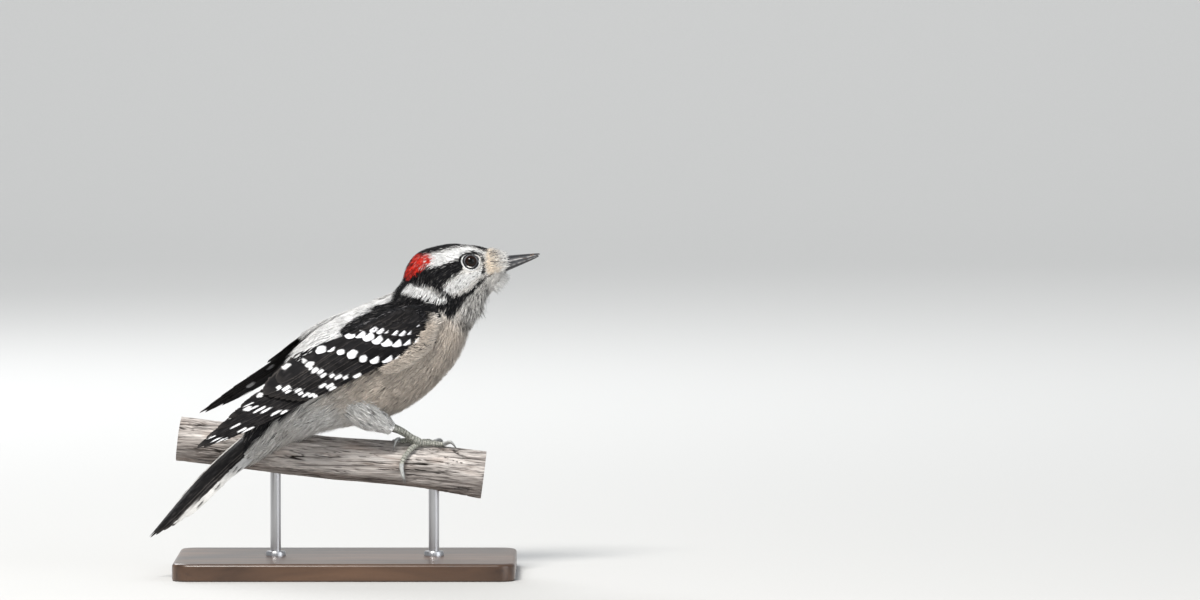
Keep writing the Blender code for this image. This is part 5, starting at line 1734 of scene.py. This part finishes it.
BASE_LENGTH, BASE_WIDTH, BASE_HEIGHT = 116, 72, 6.0
BASE_CORNER, BASE_EDGE = 6.0, 1.2
quarter = np.radians(np.arange(15, 91, 15))
inset = np.concatenate([(0.5, 0.0, 0.0), BASE_EDGE * (1 - np.cos(quarter)), (4.0, 14.0)])
level = BASE_HEIGHT - BASE_EDGE + BASE_EDGE * np.sin(quarter)
level = np.concatenate([(0.0, 0.5, BASE_HEIGHT - BASE_EDGE), level, (BASE_HEIGHT, BASE_HEIGHT)])
outlines = [rounded_outline(BASE_LENGTH - 2 * d, BASE_WIDTH - 2 * d, max(BASE_CORNER - d, 0.6))
            for d in inset]
rings = np.array([[(*spot, z) for spot in outline] for outline, z in zip(outlines, level)])
VARNISH_DARK, VARNISH_RED, PORE = (0.035, 0.017, 0.009), (0.125, 0.066, 0.036), (0.012, 0.007, 0.005)
varnish = Look("dark_varnish", 0.34, Coat_Weight=0.25, Coat_Roughness=0.2)
grain = varnish.noise((14.0, 260.0, 60.0), 7.0, Distortion=0.7)
pores = varnish.noise((60.0, 1600.0, 300.0), 4.0)
colour = varnish.blend(VARNISH_DARK, VARNISH_RED, varnish.ramp(grain, 0.35, 0.65))
varnish.colour(varnish.blend(colour, PORE, varnish.ramp(pores, 0.62, 0.75, 0.0, 0.7)))
varnish.bump(pores, 0.25)
plate = solid("base_plate", rings, ends=((0, 0, 0.0), (0, 0, BASE_HEIGHT)), sharp=40)
settle(plate, varnish, "stand_wood", "stand_base")


# %% Rods
STEEL_DARK, STEEL_PALE = (0.42, 0.42, 0.43), (0.62, 0.62, 0.63)
steel = Look("brushed_steel", 0.3, Metallic=1.0)
brush = steel.noise((1500.0, 1500.0, 25.0), 4.0)
steel.colour(steel.blend(STEEL_DARK, STEEL_PALE, brush))
steel.feed(steel.shader, "Roughness", steel.vary(brush, 0.24, 0.42))
ROD_PLACES = (-24.0, 30.0)
for number, x in enumerate(ROD_PLACES):
    y, z, radius = perch_at(x)
    heights = np.array((2.5, 5.9, 6.0, 7.0, 7.6, 7.8, (z - radius) / 2, z - radius - 0.6, z - radius + 1.6))
    girth = np.array((1.8, 1.8, 3.4, 3.4, 3.1, 1.8, 1.8, 1.8, 1.8))
    a = turns(64)
    east, north, up = np.eye(3)
    rings = (x, y, 0) + girth[:, None, None] * circle(a, east, north) + heights[:, None, None] * up
    ends = ((x, y, heights[0]), (x, y, heights[-1]))
    rod = solid(f"rod_{number + 1}", rings, ends=ends, sharp=40)
    settle(rod, steel, "stand_steel", f"stand_rod_{number + 1}")


# %% Floor
BEND = 1.3  # radius in metres of the floor's turn up into a wall
turn = np.linspace(0.1, np.pi / 2, 24)
floor_y = np.concatenate([np.linspace(-2, 2.2, 8), 2.2 + BEND * np.sin(turn)])
floor_z = np.concatenate([np.zeros(8), BEND * (1 - np.cos(turn))])
grid = np.stack(np.broadcast_arrays(np.linspace(-4, 4, 9), floor_y[:, None], floor_z[:, None]), axis=-1) / MM
rows, columns = grid.shape[:2]
i, j = np.arange(rows - 1)[:, None], np.arange(columns - 1)[None, :]
corner = i * columns + j
quads = np.stack([corner, corner + 1, corner + columns + 1, corner + columns], axis=-1)
floor = make_mesh("floor", grid.reshape(-1, 3), quads.reshape(-1, 4), np.zeros((0, 3), int))
PAPER_DARK, PAPER_PALE = (0.53, 0.53, 0.52), (0.57, 0.57, 0.56)
paper = Look("pale_paper", 0.8)
paper.colour(paper.blend(PAPER_DARK, PAPER_PALE, paper.noise(900.0, 3.0)))
floor.data.materials.append(paper.made)
floor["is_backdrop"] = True


# %% Sizes and finish
size = {"cad": [[float(v) for v in c] for c in cad_box], "visual": [[float(v) for v in c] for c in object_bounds()]}
print("sizes:", size)
shown = [o for o in bpy.context.scene.objects if o.type == "MESH" and not o.hide_render]
counts = {o.name: len(o.data.loops) - 2 * len(o.data.polygons) for o in shown}
print("triangles in all:", sum(counts.values()), "the most in one piece:",
      max(counts.items(), key=lambda c: c[1]))
